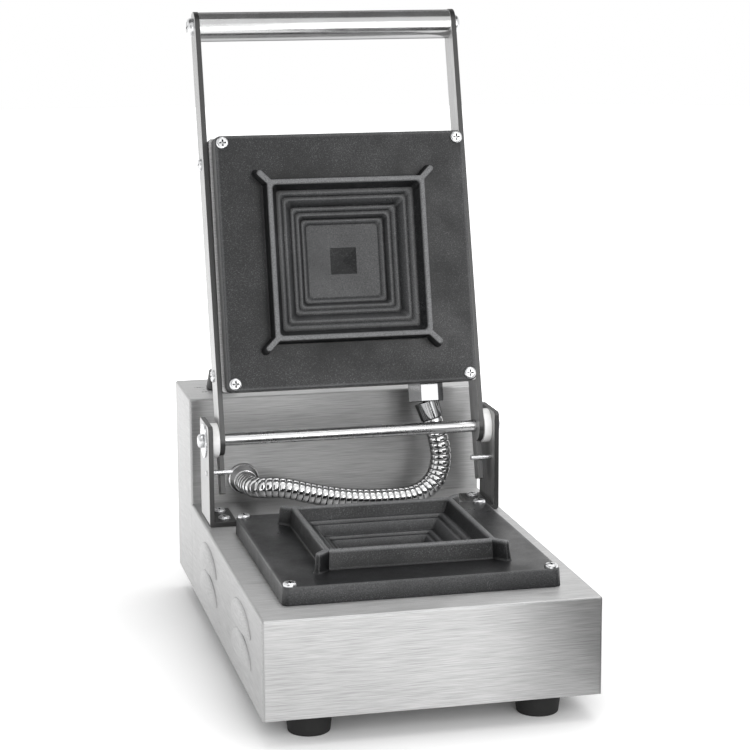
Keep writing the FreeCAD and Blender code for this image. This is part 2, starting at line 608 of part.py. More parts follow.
def hinge_brackets():
    wall = block("bracket_wall", ("bracket_in", "bracket_out"),
                 ("hinge_y - bracket_front", "hinge_y + bracket_back"),
                 ("deck_z", "hinge_z + bracket_above"))
    flange = block("bracket_flange", ("bracket_out - flange_width", "bracket_out"),
                   ("hinge_y - bracket_front", "hinge_y + bracket_back"),
                   ("deck_z", "deck_z + bracket_thickness"))
    top, low, outer = value("hinge_z + bracket_above"), value("deck_z"), value("bracket_out")

    def bend_and_corners(middle, along):
        bend = abs(along.y) > 0.9 and middle.x > outer - 0.01 and middle.z < low + 0.01
        return bend or abs(along.x) > 0.9 and middle.z > top - 0.01
    sheet_metal = soften("bracket_bend", fuse("bracket_sheet", [wall, flange]), "bracket_corner",
                         bend_and_corners)
    holes = [rod("spigot_hole", "x", ("bracket_in - 1", "hinge_y", "hinge_z"), "bracket_thickness + 2",
                 "spigot_radius + running_gap"),
             rod("stop_hole", "x", ("bracket_in - 1", "pin_y", "pin_z"), "bracket_thickness + 2",
                 "stop_radius + running_gap")]
    for y in ("hinge_y - flange_screw_front", "hinge_y + flange_screw_back"):
        holes.append(rod("bracket_hole", "z", ("flange_screw_x", y, "deck_z - 1"), "bracket_thickness + 2",
                         "medium_hole"))
    right = node("hinge_bracket_right", cut("bracket", sheet_metal, holes))
    node("hinge_bracket_left", mirror("bracket_mirrored", right))
    spots = [(f"{side} * flange_screw_x", y) for side in (-1, 1)
             for y in ("hinge_y - flange_screw_front", "hinge_y + flange_screw_back")]
    screw = pan_screw("flange_screw", "medium", "bracket_thickness + sheet + medium_nut + thread_end")
    node("bracket_screws", copies("flange_screws", screw,
                                  [(x, y, "deck_z + bracket_thickness") for x, y in spots]))
    nut = hex_nut("flange_nut", "medium_flats", "medium_nut", "medium_radius + running_gap")
    node("bracket_nuts", copies("flange_nuts", nut, [(x, y, "under_deck_z - medium_nut") for x, y in spots]))


def hinge_fittings():
    axis = ("hinge_y", "hinge_z")
    pin = rod("stop_pin", "x", ("bracket_in - stop_length", "pin_y", "pin_z"),
              "stop_length + bracket_thickness + stop_rivet", "stop_radius")
    node("stop_pins", group("stops", [pin, mirror("stop_pin_left", pin)]))
    flange = rod("bush_flange", "x", ("bracket_in - bush_length", *axis), "bush_length", "bush_radius")
    spigot = rod("bush_spigot", "x", ("bracket_in", *axis), "bracket_thickness", "spigot_radius")
    bore = rod("bush_bore", "x", ("bracket_in - bush_length - 1", *axis),
               "bush_length + bracket_thickness + 2", "bolt_radius + running_gap")
    bush = cut("bush", fuse("bush_solid", [flange, spigot]), [bore])
    node("hinge_bushes", group("bushes", [bush, mirror("bush_left", bush)]))
    disc = rod("washer_disc", "x", ("bracket_out", *axis), "washer_thickness", "washer_radius")
    eye = rod("washer_eye", "x", ("bracket_out - 1", *axis), "washer_thickness + 2",
              "bolt_radius + screw_gap")
    washer = cut("washer", disc, [eye])
    node("hinge_washers", group("washers", [washer, mirror("washer_left", washer)]))
    seat = "bracket_out + washer_thickness + slack"
    start = "casing_half - bolt_grip"
    head = rod("bolt_cap", "x", (seat, *axis), "bolt_head_height", "bolt_head_radius")
    outer = value(f"{seat} + bolt_head_height")
    dome = soften("bolt_dome", head, "0.7 * bolt_head_height", lambda middle, along: middle.x > outer - 0.01)
    shank = rod("bolt_shank", "x", (start, *axis), f"{seat} - ({start})", "bolt_radius")
    bolt = fuse("hinge_bolt", [dome, shank])
    node("hinge_bolts", group("bolts", [bolt, mirror("hinge_bolt_left", bolt)]))
    bar = rod("rod_bar", "x", ("-casing_half", *axis), "casing_width", "rod_radius")
    tapped = [rod("rod_thread", "x", (x, *axis), "bolt_grip + 2", "bolt_radius + running_gap")
              for x in ("-casing_half - 1", "casing_half - bolt_grip - 1")]
    node("hinge_rod", cut("hinge_bar", bar, tapped))


# Lid

def lid_arms():
    """Flat bars from the hinge to the handle, with a narrow tail that meets the stop pin."""
    thick = ("casing_half", "arm_out")
    start, length = "casing_half", "arm_thickness"
    bar = block("arm_bar", thick, ("0", "handle_reach"), ("-arm_half", "arm_half"))
    rounds = [rod("arm_round", "x", (start, y, "0"), length, "arm_half") for y in ("0", "handle_reach")]
    tail = block("arm_tail", thick, ("-tail_reach", "0"), ("-arm_half", "-tail_front"))
    holes = [rod("arm_hinge_hole", "x", ("casing_half - 1", "0", "0"), "arm_thickness + 2",
                 "bolt_radius + screw_gap"),
             rod("arm_handle_hole", "x", ("casing_half - 1", "handle_reach", "0"), "arm_thickness + 2",
                 "large_radius + screw_gap")]
    for y in ("arm_screw_low", "arm_screw_high"):
        holes.append(rod("arm_casing_hole", "x", ("casing_half - 1", y, "0"), "arm_thickness + 2",
                         "medium_hole"))
    plain = cut("arm", fuse("arm_flat", [bar, tail] + rounds), holes)
    node("arm_right", lid_place(plain, "arm_tilt"))
    node("arm_left", mirror("arm_mirrored", plain))


def mirrored_screws(label, name, screw, spots):
    """Screws at the right-hand spots with their heads outwards, and their mirror images."""
    right = lid_place(copies(name, screw, spots, (0, 1, 0), "90"), "arm_tilt")
    node(label, group(name + "_both", [right, mirror(name + "_left", right)]))


def handle():
    tube = rod("handle_bar", "x", ("-casing_half", "handle_reach", "0"), "casing_width", "handle_radius")
    bore = rod("handle_bore", "x", ("-casing_half - 1", "handle_reach", "0"), "casing_width + 2",
               "handle_radius - handle_wall")
    node("handle_tube", lid_place(cut("handle", tube, [bore]), "arm_tilt"))
    plug = rod("plug_bar", "x", ("casing_half - plug_length", "handle_reach", "0"), "plug_length",
               "handle_radius - handle_wall - running_gap")
    tapped = rod("plug_thread", "x", ("casing_half - large_length", "handle_reach", "0"), "large_length + 1",
                 "large_radius + running_gap")
    plugs = lid_place(cut("handle_plug", plug, [tapped]), "arm_tilt")
    node("handle_plugs", group("handle_plug_pair", [plugs, mirror("handle_plug_left", plugs)]))
    screw = pan_screw("handle_screw", "large", "large_length")
    mirrored_screws("handle_screws", "handle_bolts", screw, [("arm_out", "handle_reach", "0")])


def upper_casing():
    body = block("casing_block", ("-casing_half", "casing_half"), ("casing_low", "casing_high"),
                 ("casing_back", "plate_back"))
    back, front = value("casing_back"), value("plate_back")

    def folded(middle, along):
        return middle.z < front - 0.01
    shell = soften("casing_folds", body, "fold_radius", folded)
    room = block("casing_room", ("-casing_half + sheet", "casing_half - sheet"),
                 ("casing_low + sheet", "casing_high - sheet"),
                 ("casing_back + sheet", "plate_back - sheet"))
    mouth = block("casing_mouth", ("-opening_half", "opening_half"),
                  ("lid_reach - opening_half", "lid_reach + opening_half"),
                  ("plate_back - sheet - 1", "plate_back + 1"))
    holes = [rod("casing_screw_hole", "z", (x, y, "plate_back - sheet - 1"), "sheet + 2", "medium_hole")
             for x, y, _ in corner_spots("lid_reach", "0")]
    for side in ("-casing_half - 1", "casing_half - sheet - 1"):
        for reach in ("arm_screw_low", "arm_screw_high"):
            spot = (side, f"{reach} * cos(arm_lean)", f"-({reach}) * sin(arm_lean)")
            holes.append(rod("casing_arm_hole", "x", spot, "sheet + 2", "medium_hole"))
    holes.append(rod("casing_conduit_hole", "y", ("connector_x", "casing_low - 1", "-connector_back"),
                     "sheet + 2", "thread_radius + screw_gap"))
    node("upper_casing", lid_place(cut("casing", shell, [room, mouth] + holes)))
    screw = pan_screw("arm_screw", "medium", "arm_thickness + sheet + medium_nut + thread_end")
    mirrored_screws("arm_screws", "arm_bolts", screw,
                    [("arm_out", y, "0") for y in ("arm_screw_low", "arm_screw_high")])
    nut = hex_nut("arm_nut", "medium_flats", "medium_nut", "medium_radius + running_gap")
    seat = "casing_half - sheet - medium_nut"
    mirrored_screws("arm_nuts", "arm_hexes", nut,
                    [(seat, y, "0") for y in ("arm_screw_low", "arm_screw_high")])


def on_lid_plate(piece, name):
    """Moves a plate's own frame to the lid."""
    return lid_place(group(name, [place(piece, "0", "lid_reach", "face_drop")]))


def upper_plate_group():
    node("upper_plate", on_lid_plate(baking_plate("upper_casting"), "upper_casting_on_lid"))
    screw = pan_screw("upper_screw", "medium", "plate_thickness + sheet + medium_nut + thread_end")
    node("upper_plate_screws", lid_place(copies("upper_screws", screw,
                                                corner_spots("lid_reach", "face_drop"))))
    nut = hex_nut("upper_nut", "medium_flats", "medium_nut", "medium_radius + running_gap")
    node("upper_plate_nuts", lid_place(copies("upper_nuts", nut,
                                              corner_spots("lid_reach", "plate_back - sheet - medium_nut"))))
    element = heater("upper_element", "post_length / 2")
    node("upper_heater", on_lid_plate(element, "upper_element_on_lid"))
    low = "-plate_thickness - casing_depth + sheet"
    wool = block("upper_wool", ("-pad_half", "pad_half"), ("-pad_half", "pad_half"),
                 (low, "-plate_thickness"))
    pad = cut("upper_pad", wool, pad_pockets("upper", low))
    node("upper_insulation", on_lid_plate(pad, "upper_pad_on_lid"))


# Conduit

def conduit_gland():
    """Round chrome gland on the control panel, with its locknut behind the sheet."""
    spot = ("gland_x", "seam_y", "gland_z")
    collar = rod("gland_collar", "z", ("0", "0", "0"), "gland_flange", "gland_radius")
    neck = cone("gland_neck", ("0", "0", "gland_flange"), "gland_neck_length",
                "gland_radius - gland_shoulder", "gland_neck_radius")
    thread = rod("gland_thread", "z", ("0", "0", "-thread_length"), "thread_length", "thread_radius")
    bore = rod("gland_bore", "z", ("0", "0", "-thread_length - 1"),
               "thread_length + gland_flange + gland_neck_length + 2", "hose_bore_radius")
    gland = cut("gland", fuse("gland_solid", [collar, neck, thread]), [bore])
    node("conduit_gland", place(gland, *spot, (1, 0, 0), "90"))
    nut = hex_nut("gland_nut", "locknut_flats", "locknut_height", "thread_radius + running_gap")
    node("gland_locknut", place(nut, "gland_x", "seam_y + sheet", "gland_z", (1, 0, 0), "-90"))


def conduit_connector():
    """Hexagon connector under the casing, with a neck that leans to the right."""
    prism = doc.addObject("Part::Prism", "connector_hex")
    prism.Polygon = 6
    bind(prism, Circumradius="connector_flats / sqrt(3)", Height="connector_length")
    neck = cone("connector_neck", ("0", "0", "0"), "neck_length", "neck_radius", "neck_tip_radius")
    place(neck, "0", "0", "connector_length", (0, 1, 0), "connector_lean")
    thread = rod("connector_thread", "z", ("0", "0", "-thread_length"), "thread_length", "thread_radius")
    way = rod("connector_way", "z", ("0", "0", "-thread_length - 1"),
              "thread_length + connector_length + 1", "hose_bore_radius")
    bend = rod("connector_bend", "z", ("0", "0", "0"), "neck_length + 1", "hose_bore_radius")
    place(bend, "0", "0", "connector_length", (0, 1, 0), "connector_lean")
    solid = cut("connector", fuse("connector_solid", [prism, neck, thread]), [way, bend])
    place(solid, "connector_x", "casing_low", "-connector_back", (1, 0, 0), "90")
    node("conduit_connector", lid_place(group("connector_on_lid", [solid])))
    nut = hex_nut("connector_nut", "locknut_flats", "locknut_height", "thread_radius + running_gap")
    place(nut, "connector_x", "casing_low + sheet", "-connector_back", (1, 0, 0), "-90")
    node("connector_locknut", lid_place(group("connector_nut_on_lid", [nut])))


def lid_point(x, along, out):
    """A point of the lid's frame, at rest."""
    lean = math.radians(value("lean"))
    y = value("hinge_y") + along * math.sin(lean) - out * math.cos(lean)
    z = value("hinge_z") + along * math.cos(lean) + out * math.sin(lean)
    return Vector(x, y, z)


def conduit_route():
    """The hose's corners: out of the gland, along the deck, and up behind the hinge rod to the connector."""
    start = Vector(value("gland_x"), value("gland_tip_y"), value("gland_z"))
    hinge_y, rest_z = value("hinge_y"), value("deck_z + hose_radius + slack")
    lean = math.radians(value("connector_lean"))
    reach = value("neck_length")
    end_along = value("neck_start") - reach * math.cos(lean)
    end = lid_point(value("connector_x") + reach * math.sin(lean), end_along, -value("connector_back"))
    seat = lid_point(value("connector_x"), value("neck_start"), -value("connector_back"))
    way_out = (end - seat).normalize()
    between = [Vector(x, hinge_y + behind, rest_z + above) for x, behind, above in CONDUIT_WAY]
    first = start - Vector(0, value("gland_run"), 0)
    return [start, first] + between + [end + way_out * value("neck_run"), end]


def route_wire(points):
    """Straight runs joined by tangent arcs, each as large as its two runs allow."""
    edges, radii = [], []
    here = points[0]
    for before, corner, after in zip(points, points[1:], points[2:]):
        into, away = (corner - before), (after - corner)
        shorter = min(into.Length, away.Length)
        into.normalize()
        away.normalize()
        half_turn = into.getAngle(away) / 2
        tangent = CORNER_SHARE * shorter
        radius = tangent / math.tan(half_turn)
        first, last = corner - into * tangent, corner + away * tangent
        inward = (away - into).normalize()
        middle = corner + inward * (radius / math.cos(half_turn) - radius)
        edges.append(Part.LineSegment(here, first).toShape())
        edges.append(Part.Arc(first, middle, last).toShape())
        radii.append(round(radius, 1))
        here = last
    edges.append(Part.LineSegment(here, points[-1]).toShape())
    return Part.Wire(edges), radii


def stations(wire, distances):
    """Point, tangent and a steady side direction at each distance along the wire."""
    edges = iter(wire.OrderedEdges)
    edge = next(edges)
    upright = abs(edge.tangentAt(edge.FirstParameter).z) > 0.9
    side = Vector(1, 0, 0) if upright else Vector(0, 0, 1)
    done = 0.0
    found = []
    for distance in distances:
        while distance > done + edge.Length + 1e-6:
            done += edge.Length
            edge = next(edges)
        where = edge.getParameterByLength(min(distance - done, edge.Length))
        tangent = edge.tangentAt(where).normalize()
        side = (side - tangent * side.dot(tangent)).normalize()
        found.append((edge.valueAt(where), tangent, side))
    return found


def circle_wire(station, radius):
    point, tangent, side = station
    circle = Part.Circle(point, tangent, radius)
    circle.XAxis = side
    return Part.Wire(circle.toShape())


def tube_along(points, radius):
    wire, _ = route_wire(points)
    section = circle_wire(stations(wire, [0.0])[0], radius)
    solid = wire.makePipeShell([section], True, False)
    expected = math.pi * radius ** 2 * wire.Length
    print(f"tube: volume {solid.Volume:.1f}, section times length {expected:.1f}")
    return solid


def flexible_conduit():
    """Ribbed metal hose with its bore, a ruled loft through four circles for each rib."""
    wire, radii = route_wire(conduit_route())
    ribs = int(wire.Length / value("rib_pitch"))
    pitch = wire.Length / ribs
    marks = [(rib + part) * pitch for rib in range(ribs) for part, _ in RIB_STATIONS] + [wire.Length]
    sizes = [value(size) for _ in range(ribs) for _, size in RIB_STATIONS] + [value("hose_root_radius")]
    rings = stations(wire, marks)
    outside = Part.makeLoft([circle_wire(ring, size) for ring, size in zip(rings, sizes)], True, True)
    bore = value("hose_bore_radius")
    inside = Part.makeLoft([circle_wire(ring, bore) for ring in rings], True, True)
    hose = doc.addObject("Part::Feature", "conduit_hose")
    hose.Shape = outside.cut(inside)
    middle = [ring[0] for ring in rings]
    apart = [first.distanceToPoint(second) for i, first in enumerate(middle) for second in middle[i + 40:]]
    print(f"conduit: {ribs} ribs, length {wire.Length:.1f}, volume {hose.Shape.Volume:.0f}, "
          f"bend radii {radii}, least gap to itself {min(apart) - 2 * value('hose_radius'):.1f}")
    node("flexible_conduit", hose)


# Controls and wiring

def dial(name, x, size, depth):
    """A control body under the top sheet, its spindle, and the knob that turns with it."""
    spot = (x, "box_mid_y")
    half = f"{size} / 2"
    case = block(name + "_case", (f"{x} - {half}", f"{x} + {half}"),
                 (f"box_mid_y - {half}", f"box_mid_y + {half}"),
                 (f"under_top_z - {depth}", "under_top_z"))
    nose = rod(name + "_nose", "z", (*spot, f"under_top_z - {depth}"), f"{depth} + sheet + nose_height",
               "nose_radius")
    foot_z = "top_z + nose_height - nose_depth"
    way = rod(name + "_way", "z", (*spot, foot_z), "nose_depth + 1", "spindle_radius + running_gap")
    node(name + "_body", cut(name + "_control", fuse(name + "_solid", [case, nose]), [way]))
    seat_z = "top_z + knob_lift"
    pin_z = f"{foot_z} + slack"
    pin = rod(name + "_pin", "z", (*spot, pin_z), f"{seat_z} + knob_socket - slack - ({pin_z})",
              "spindle_radius")
    node(name + "_spindle", pin)
    blank = cone(name + "_knob_blank", (*spot, seat_z), "knob_height", "knob_radius", "knob_top_radius")
    top = value(f"{seat_z} + knob_height")
    soft = soften(name + "_knob_edge", blank, "knob_edge", lambda middle, along: middle.z > top - 0.01)
    room = rod(name + "_knob_room", "z", (*spot, f"{seat_z} - 1"), "nose_height + 1 + knob_play",
               "nose_radius + 2 * slack")
    socket = rod(name + "_socket", "z", (*spot, seat_z), "knob_socket", "spindle_radius + running_gap")
    pointer = block(name + "_pointer", (f"{x} - pointer_width / 2", f"{x} + pointer_width / 2"),
                    ("box_mid_y - knob_radius", "box_mid_y"),
                    (f"{seat_z} + knob_height - pointer_depth", f"{seat_z} + knob_height + 1"))
    node(name + "_knob", cut(name + "_handgrip", soft, [room, socket, pointer]))


def power_switch():
    """Rocker switch: bezel and case in the top sheet, with the rocker on two stub pins."""
    def around(half_x, half_y, z):
        return (f"-({half_x})", half_x), (f"box_mid_y - ({half_y})", f"box_mid_y + {half_y}"), z
    bezel = block("switch_bezel", *around("switch_width / 2 + bezel_lip", "switch_length / 2 + bezel_lip",
                                          ("top_z", "top_z + bezel_height")))
    case = block("switch_case", *around("switch_width / 2 - slack", "switch_length / 2 - slack",
                                        ("top_z - switch_depth", "top_z")))
    room = block("switch_room", *around("rocker_width / 2 + slack", "rocker_length / 2 + rocker_room",
                                        ("pivot_z - pocket_depth", "top_z + bezel_height + 1")))
    pin_half = "rocker_width / 2 + pivot_end"
    way = rod("pivot_way", "x", (f"-({pin_half}) - slack", "box_mid_y", "pivot_z"),
              f"2 * ({pin_half}) + 2 * slack", "pivot_radius + running_gap")
    node("switch_body", cut("switch", fuse("switch_solid", [bezel, case]), [room, way]))
    body = doc.addObject("PartDesign::Body", "rocker_body")
    plane = next(item for item in body.Origin.OriginFeatures if item.Role == "YZ_Plane")
    sketch = body.newObject("Sketcher::SketchObject", "rocker_profile")
    sketch.AttachmentSupport = [(plane, "")]
    sketch.MapMode = "FlatFace"
    half = "rocker_length / 2"
    outline = [(f"-{half}", "-rocker_under"), (half, "-rocker_under"), (half, "rocker_end"),
               ("0", "rocker_dip"), (f"-{half}", "rocker_end")]
    draw_outline(sketch, outline)
    pad = body.newObject("PartDesign::Pad", "rocker_pad")
    pad.Profile = sketch
    pad.Midplane = True
    bind(pad, Length="rocker_width")
    stub = rod("rocker_stub", "x", (f"-({pin_half})", "0", "0"), f"2 * ({pin_half})", "pivot_radius")
    rocker = fuse("rocker", [body, stub])
    node("switch_rocker", place(rocker, "0", "box_mid_y", "pivot_z", (1, 0, 0), "rocker_tilt / 2"))


def draw_outline(sketch, outline):
    """Closed polygon whose corners are held by formulas."""
    corners = [Vector(value(x), value(y), 0) for x, y in outline]
    count = len(corners)
    for index in range(count):
        sketch.addGeometry(Part.LineSegment(corners[index], corners[(index + 1) % count]), False)
    for index in range(count):
        sketch.addConstraint(Sketcher.Constraint("Coincident", index, 2, (index + 1) % count, 1))
    for index, (x, y) in enumerate(outline):
        for kind, text, size in (("DistanceX", x, corners[index].x), ("DistanceY", y, corners[index].y)):
            number = sketch.addConstraint(Sketcher.Constraint(kind, -1, 1, index, 1, size))
            sketch.setExpression(f"Constraints[{number}]", expand(text))


def lamp(label, x):
    flange = rod(label + "_flange", "z", (x, "box_mid_y", "top_z"), "lamp_flange_height", "lamp_flange")
    stem = rod(label + "_stem", "z", (x, "box_mid_y", "top_z - lamp_depth"), "lamp_depth", "lamp_radius")
    lens = rod(label + "_lens", "z", (x, "box_mid_y", "top_z + lamp_flange_height"), "lamp_dome",
               "lamp_radius")
    top = value("top_z + lamp_flange_height + lamp_dome")
    dome = soften(label + "_dome", lens, "0.8 * lamp_dome", lambda middle, along: middle.z > top - 0.01)
    node(label, fuse(label + "_solid", [flange, stem, dome]))


def terminals():
    block_y = ("terminal_y", "terminal_y + terminal_depth")
    case = block("terminal_case", ("-terminal_length / 2", "terminal_length / 2"), block_y,
                 ("floor_z", "floor_z + terminal_height"))
    node("terminal_block", case)
    stud = rod("earth_thread", "z", ("earth_x", "terminal_y", "floor_z"), "earth_height", "earth_radius")
    base = rod("earth_base", "z", ("earth_x", "terminal_y", "floor_z"), "earth_base_height",
               "earth_base_radius")
    node("earth_stud", fuse("earth", [stud, base]))
    leads = []
    for side in (-1, 1):
        x = side * value("post_spread")
        post = Vector(x, value("plate_y + post_setback"), value("deck_z - heater_thickness - post_length"))
        end = Vector(x, value("terminal_y"), value("floor_z + terminal_height / 2"))
        gap = end - post
        points = [post, post + Vector(0, 0, 0.5 * gap.z), post + Vector(0, 0.3 * gap.y, gap.z), end]
        leads.append(tube_along(points, value("lead_radius")))
    wires = doc.addObject("Part::Feature", "heater_wires")
    wires.Shape = Part.makeCompound(leads)
    node("lower_heater_leads", wires)


def thermostat_sensor():
    """Bulb against the lower plate's back, and the capillary from it to the thermostat."""
    left = value("-bulb_length / 2")
    y, z = value("bulb_y"), value("bulb_z")
    bulb = Part.makeCylinder(value("bulb_radius"), value("bulb_length"), Vector(left, y, z), Vector(1, 0, 0))
    behind = value("plate_y + opening_half + sheet")
    seam = value("seam_y")
    under_panel = value("deck_z - window_margin")
    case = Vector(value("-dial_x"), value("box_mid_y"), value("under_top_z - thermostat_depth"))
    points = [
        Vector(left, y, z),
        Vector(left - 12, y, z),
        Vector(left - 20, behind + 8, z - 2),
        Vector(left - 24, seam - 20, under_panel),
        Vector(left - 40, seam + 18, under_panel),
        Vector(case.x, case.y, under_panel + 20),
        case,
    ]
    sensor = doc.addObject("Part::Feature", "sensor_tube")
    sensor.Shape = bulb.fuse(tube_along(points, value("capillary_radius")))
    node("thermostat_sensor", sensor)


def check_and_write():
    doc.recompute()
    for item in doc.Objects:
        if "Invalid" in item.State or "Error" in item.State:
            raise RuntimeError(f"{item.Label} failed: {item.State}")
    os.makedirs("parts", exist_ok=True)
    for piece in nodes:
        shape = piece.Shape
        if shape.isNull() or not shape.isValid() or not shape.Solids:
            raise RuntimeError(f"{piece.Label} has no valid solid")
        solids = shape.Solids
        whole = solids[0] if len(solids) == 1 else Part.makeCompound(solids)
        whole.exportStep(f"parts/{piece.Label}.step")
    print(f"{len(nodes)} nodes written")


base_housing()
control_housing()
rear_cover()
cord_grommet()
bottom_cover()
feet()
lower_plate_group()
heat_shield()
hinge_brackets()
hinge_fittings()
lid_arms()
handle()
upper_casing()
upper_plate_group()
conduit_gland()
conduit_connector()
flexible_conduit()
dial("thermostat", "-dial_x", "thermostat_size", "thermostat_depth")
dial("timer", "dial_x", "timer_size", "timer_depth")
power_switch()
lamp("power_lamp", "-lamp_x")
lamp("heating_lamp", "lamp_x")
terminals()
thermostat_sensor()
check_and_write()
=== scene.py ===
"""Looks of the square mould baker: metals, coated castings, ribbed conduit, studio and camera.

Metres, in the part's own frame: +X right, +Y back, +Z up, origin on the floor under the base.
"""

import json
import math

import bmesh
import bpy
from mathutils import Matrix, Vector
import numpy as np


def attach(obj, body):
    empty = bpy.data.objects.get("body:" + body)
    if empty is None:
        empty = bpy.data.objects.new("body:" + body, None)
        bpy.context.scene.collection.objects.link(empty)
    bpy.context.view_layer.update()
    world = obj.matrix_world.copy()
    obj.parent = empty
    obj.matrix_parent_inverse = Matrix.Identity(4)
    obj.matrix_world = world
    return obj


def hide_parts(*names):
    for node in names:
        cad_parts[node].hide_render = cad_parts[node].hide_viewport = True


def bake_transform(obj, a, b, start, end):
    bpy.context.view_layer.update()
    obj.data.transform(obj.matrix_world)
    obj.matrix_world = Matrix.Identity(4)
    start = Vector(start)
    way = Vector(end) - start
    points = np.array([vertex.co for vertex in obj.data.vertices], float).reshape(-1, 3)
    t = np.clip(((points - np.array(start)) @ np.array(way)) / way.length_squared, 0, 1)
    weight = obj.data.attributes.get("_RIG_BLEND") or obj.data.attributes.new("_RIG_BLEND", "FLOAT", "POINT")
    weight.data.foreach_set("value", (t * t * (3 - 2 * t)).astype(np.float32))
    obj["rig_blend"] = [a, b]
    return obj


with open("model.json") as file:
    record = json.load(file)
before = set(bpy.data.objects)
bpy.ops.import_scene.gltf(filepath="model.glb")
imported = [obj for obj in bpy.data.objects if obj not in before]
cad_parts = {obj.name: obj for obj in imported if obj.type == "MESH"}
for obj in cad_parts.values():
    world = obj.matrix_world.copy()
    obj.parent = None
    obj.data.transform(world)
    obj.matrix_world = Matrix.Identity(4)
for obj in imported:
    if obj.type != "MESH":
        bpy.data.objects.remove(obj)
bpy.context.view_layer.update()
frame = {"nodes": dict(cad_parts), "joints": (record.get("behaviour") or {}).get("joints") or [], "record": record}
nodes = frame["nodes"]
joints = {joint["name"]: joint for joint in frame["joints"]}
bodies = frame["record"]["behaviour"]["bodies"]
body_of_node = {node: body for body, names in bodies.items() for node in names}
slot_of_node = {part["node"]: part["material_slot"] for part in frame["record"]["subparts"]}

MM = 0.001
HINGE = Vector(joints["lid_hinge"]["pos_m"])
LID_LEAN = math.radians(13.45)
ARM_LEAN = math.radians(15.65)

# Softened edges: how far each node's are rounded, in millimetres
SOFT_EDGES = {
    "arm_left": 0.35,
    "arm_right": 0.35,
    "hinge_bracket_left": 0.3,
    "hinge_bracket_right": 0.3,
    "hinge_bushes": 0.7,
    "hinge_washers": 0.3,
    "rubber_feet": 0.8,
    "conduit_connector": 0.5,
    "conduit_gland": 0.6,
}
EDGE_SEGMENTS = 3
SHARP_ANGLE = math.radians(28)
FLAT_ANGLE = math.radians(0.6)
WELD_DISTANCE = 0.002 * MM

# Baking plates, in millimetres: half size, height, rounding in profile, corner radius in plan, and wear and
# highlight, a lighter grey: rubbed coating on the rim's top, and painted highlight on the edges of the slab and
# steps
PLATE_PROFILE = (
    # Back and slab
    (38, -22.2, 0, 3, 0), (38, -13.6, 0, 3, 0), (104.05, -13.6, 0.5, 5, 0),
    (103.4, 0, 1.8, 5, 0.35), (100.5, 0, 0, 5, 0),
    # Rim
    (66.5, 0, 1.5, 3.5, 0), (65.3, 12, 0, 3, 0), (65, 14.8, 0.9, 3, 1),
    (61.5, 14.8, 0.8, 3, 1), (60.6, 12.8, 0, 3, 0),
    # Steps of the well, with a painted highlight on their convex edges in the last column
    (57, 4.8, 0.7, 3, 0), (54, 4.8, 0.7, 3, 0.5), (51.5, 2.3, 0.6, 3, 0), (49, 2.3, 0.7, 3, 0.5),
    (44, -5.2, 0.7, 3, 0), (41.8, -5.2, 0.7, 3, 0.5), (39.6, -7.2, 0.6, 3, 0), (37, -7.2, 0.7, 3, 0.5),
    (34.4, -12.7, 0.7, 3, 0), (32.4, -12.7, 0.7, 3, 0.5), (30, -14.7, 0.5, 3, 0.1),
    # Floor, and the pyramid sunk in it
    (29, -14.7, 0, 3, 0.3), (11, -14.7, 0, 0.02, 0.3), (10.9, -14.73, 0, 0.02, 0), (0.1, -18.2, 0, 0.02, 0),
)
# Ears at the rim's corners, in millimetres: height, half width, reach from the middle, and wear and highlight,
# here the rubbed tops
EAR_LEVELS = (
    (-0.5, 4.1, 105.4, 0), (0.1, 3.6, 104.9, 0), (0.7, 3.1, 104.4, 0), (1.8, 2.8, 104, 0),
    (12, 2.5, 102.6, 0), (13.6, 2.4, 102.3, 0.5), (14.3, 2.25, 102, 1), (14.65, 1.9, 101.6, 1),
    (14.76, 1.4, 101.1, 1),
)
EAR_START = 88.2
EAR_STEPS = 8
CORNER_STEPS = 7
ROUND_STEPS = 4
ROUND_SHARE = 0.45
LOWER_PLATE = Vector((0, -73.1, 107.1)) * MM
UPPER_PLATE_ALONG = 141
UPPER_PLATE_OUT = 24.5

# Print on the controls
PRINT = 0.08 * MM
FIGURE_SIZE = 4.4 * MM
FIGURE_REACH = 21.5 * MM
TICK_REACH = 16.6 * MM
TICK_WIDTH = 0.6 * MM
LONG_TICK = 2.8 * MM
SHORT_TICK = 1.6 * MM
THERMOSTAT_NUMBERS = ("0", "60", "120", "180", "240", "300")
TIMER_NUMBERS = ("0", "1", "2", "3", "4", "5")
KNOB_GROOVE_Z = 199.2 * MM
KNOB_LINE_REACH = 5.4 * MM
KNOB_LINE_WIDTH = 1 * MM
KNOB_LINE_LENGTH = 8 * MM
ROCKER_DIP = 2.2 * MM
ROCKER_TIP = 4 * MM
ROCKER_HALF = 12 * MM
ROCKER_MARK_REACH = 6 * MM
ROCKER_BAR_WIDTH = 0.8 * MM
ROCKER_BAR_LENGTH = 4 * MM
ROCKER_RING_OUTER = 2.2 * MM
ROCKER_RING_INNER = 1.5 * MM
ROCKER_RING_STEPS = 24

# Conduit; each rib's profile has its share of the pitch and its share of the rise
HOSE_RADIUS = 8.7 * MM
HOSE_ROOT = 7.7 * MM
HOSE_RIBS = 47
RING_POINTS = 28
SPLINE_STEPS = 40
RIB_PROFILE = (
    (0.0, 0.1), (0.04, 0.55), (0.12, 0.88), (0.3, 1.0),
    (0.55, 1.0), (0.78, 0.93), (0.92, 0.68), (0.98, 0.1),
)
HOSE_ROUTE = [
    (-80.6, 113.5, 114.0),
    (-80.6, 88.5, 114.0),
    (-58.0, 78.5, 116.9),
    (-27.0, 76.5, 108.2),
    (6.0, 73.0, 103.1),
    (34.0, 72.5, 102.5),
    (57.0, 75.5, 102.5),
    (74.0, 78.5, 112.7),
    (80.5, 80.5, 128.7),
    (78.8, 81.2, 148.1),
    (73.5, 85.4, 165.9),
]
# The hose turns with the lid from the low middle of its run to its upper end
BEND_START = Vector((30, 78, 60)) * MM
BEND_END = Vector((80, 82, 165)) * MM

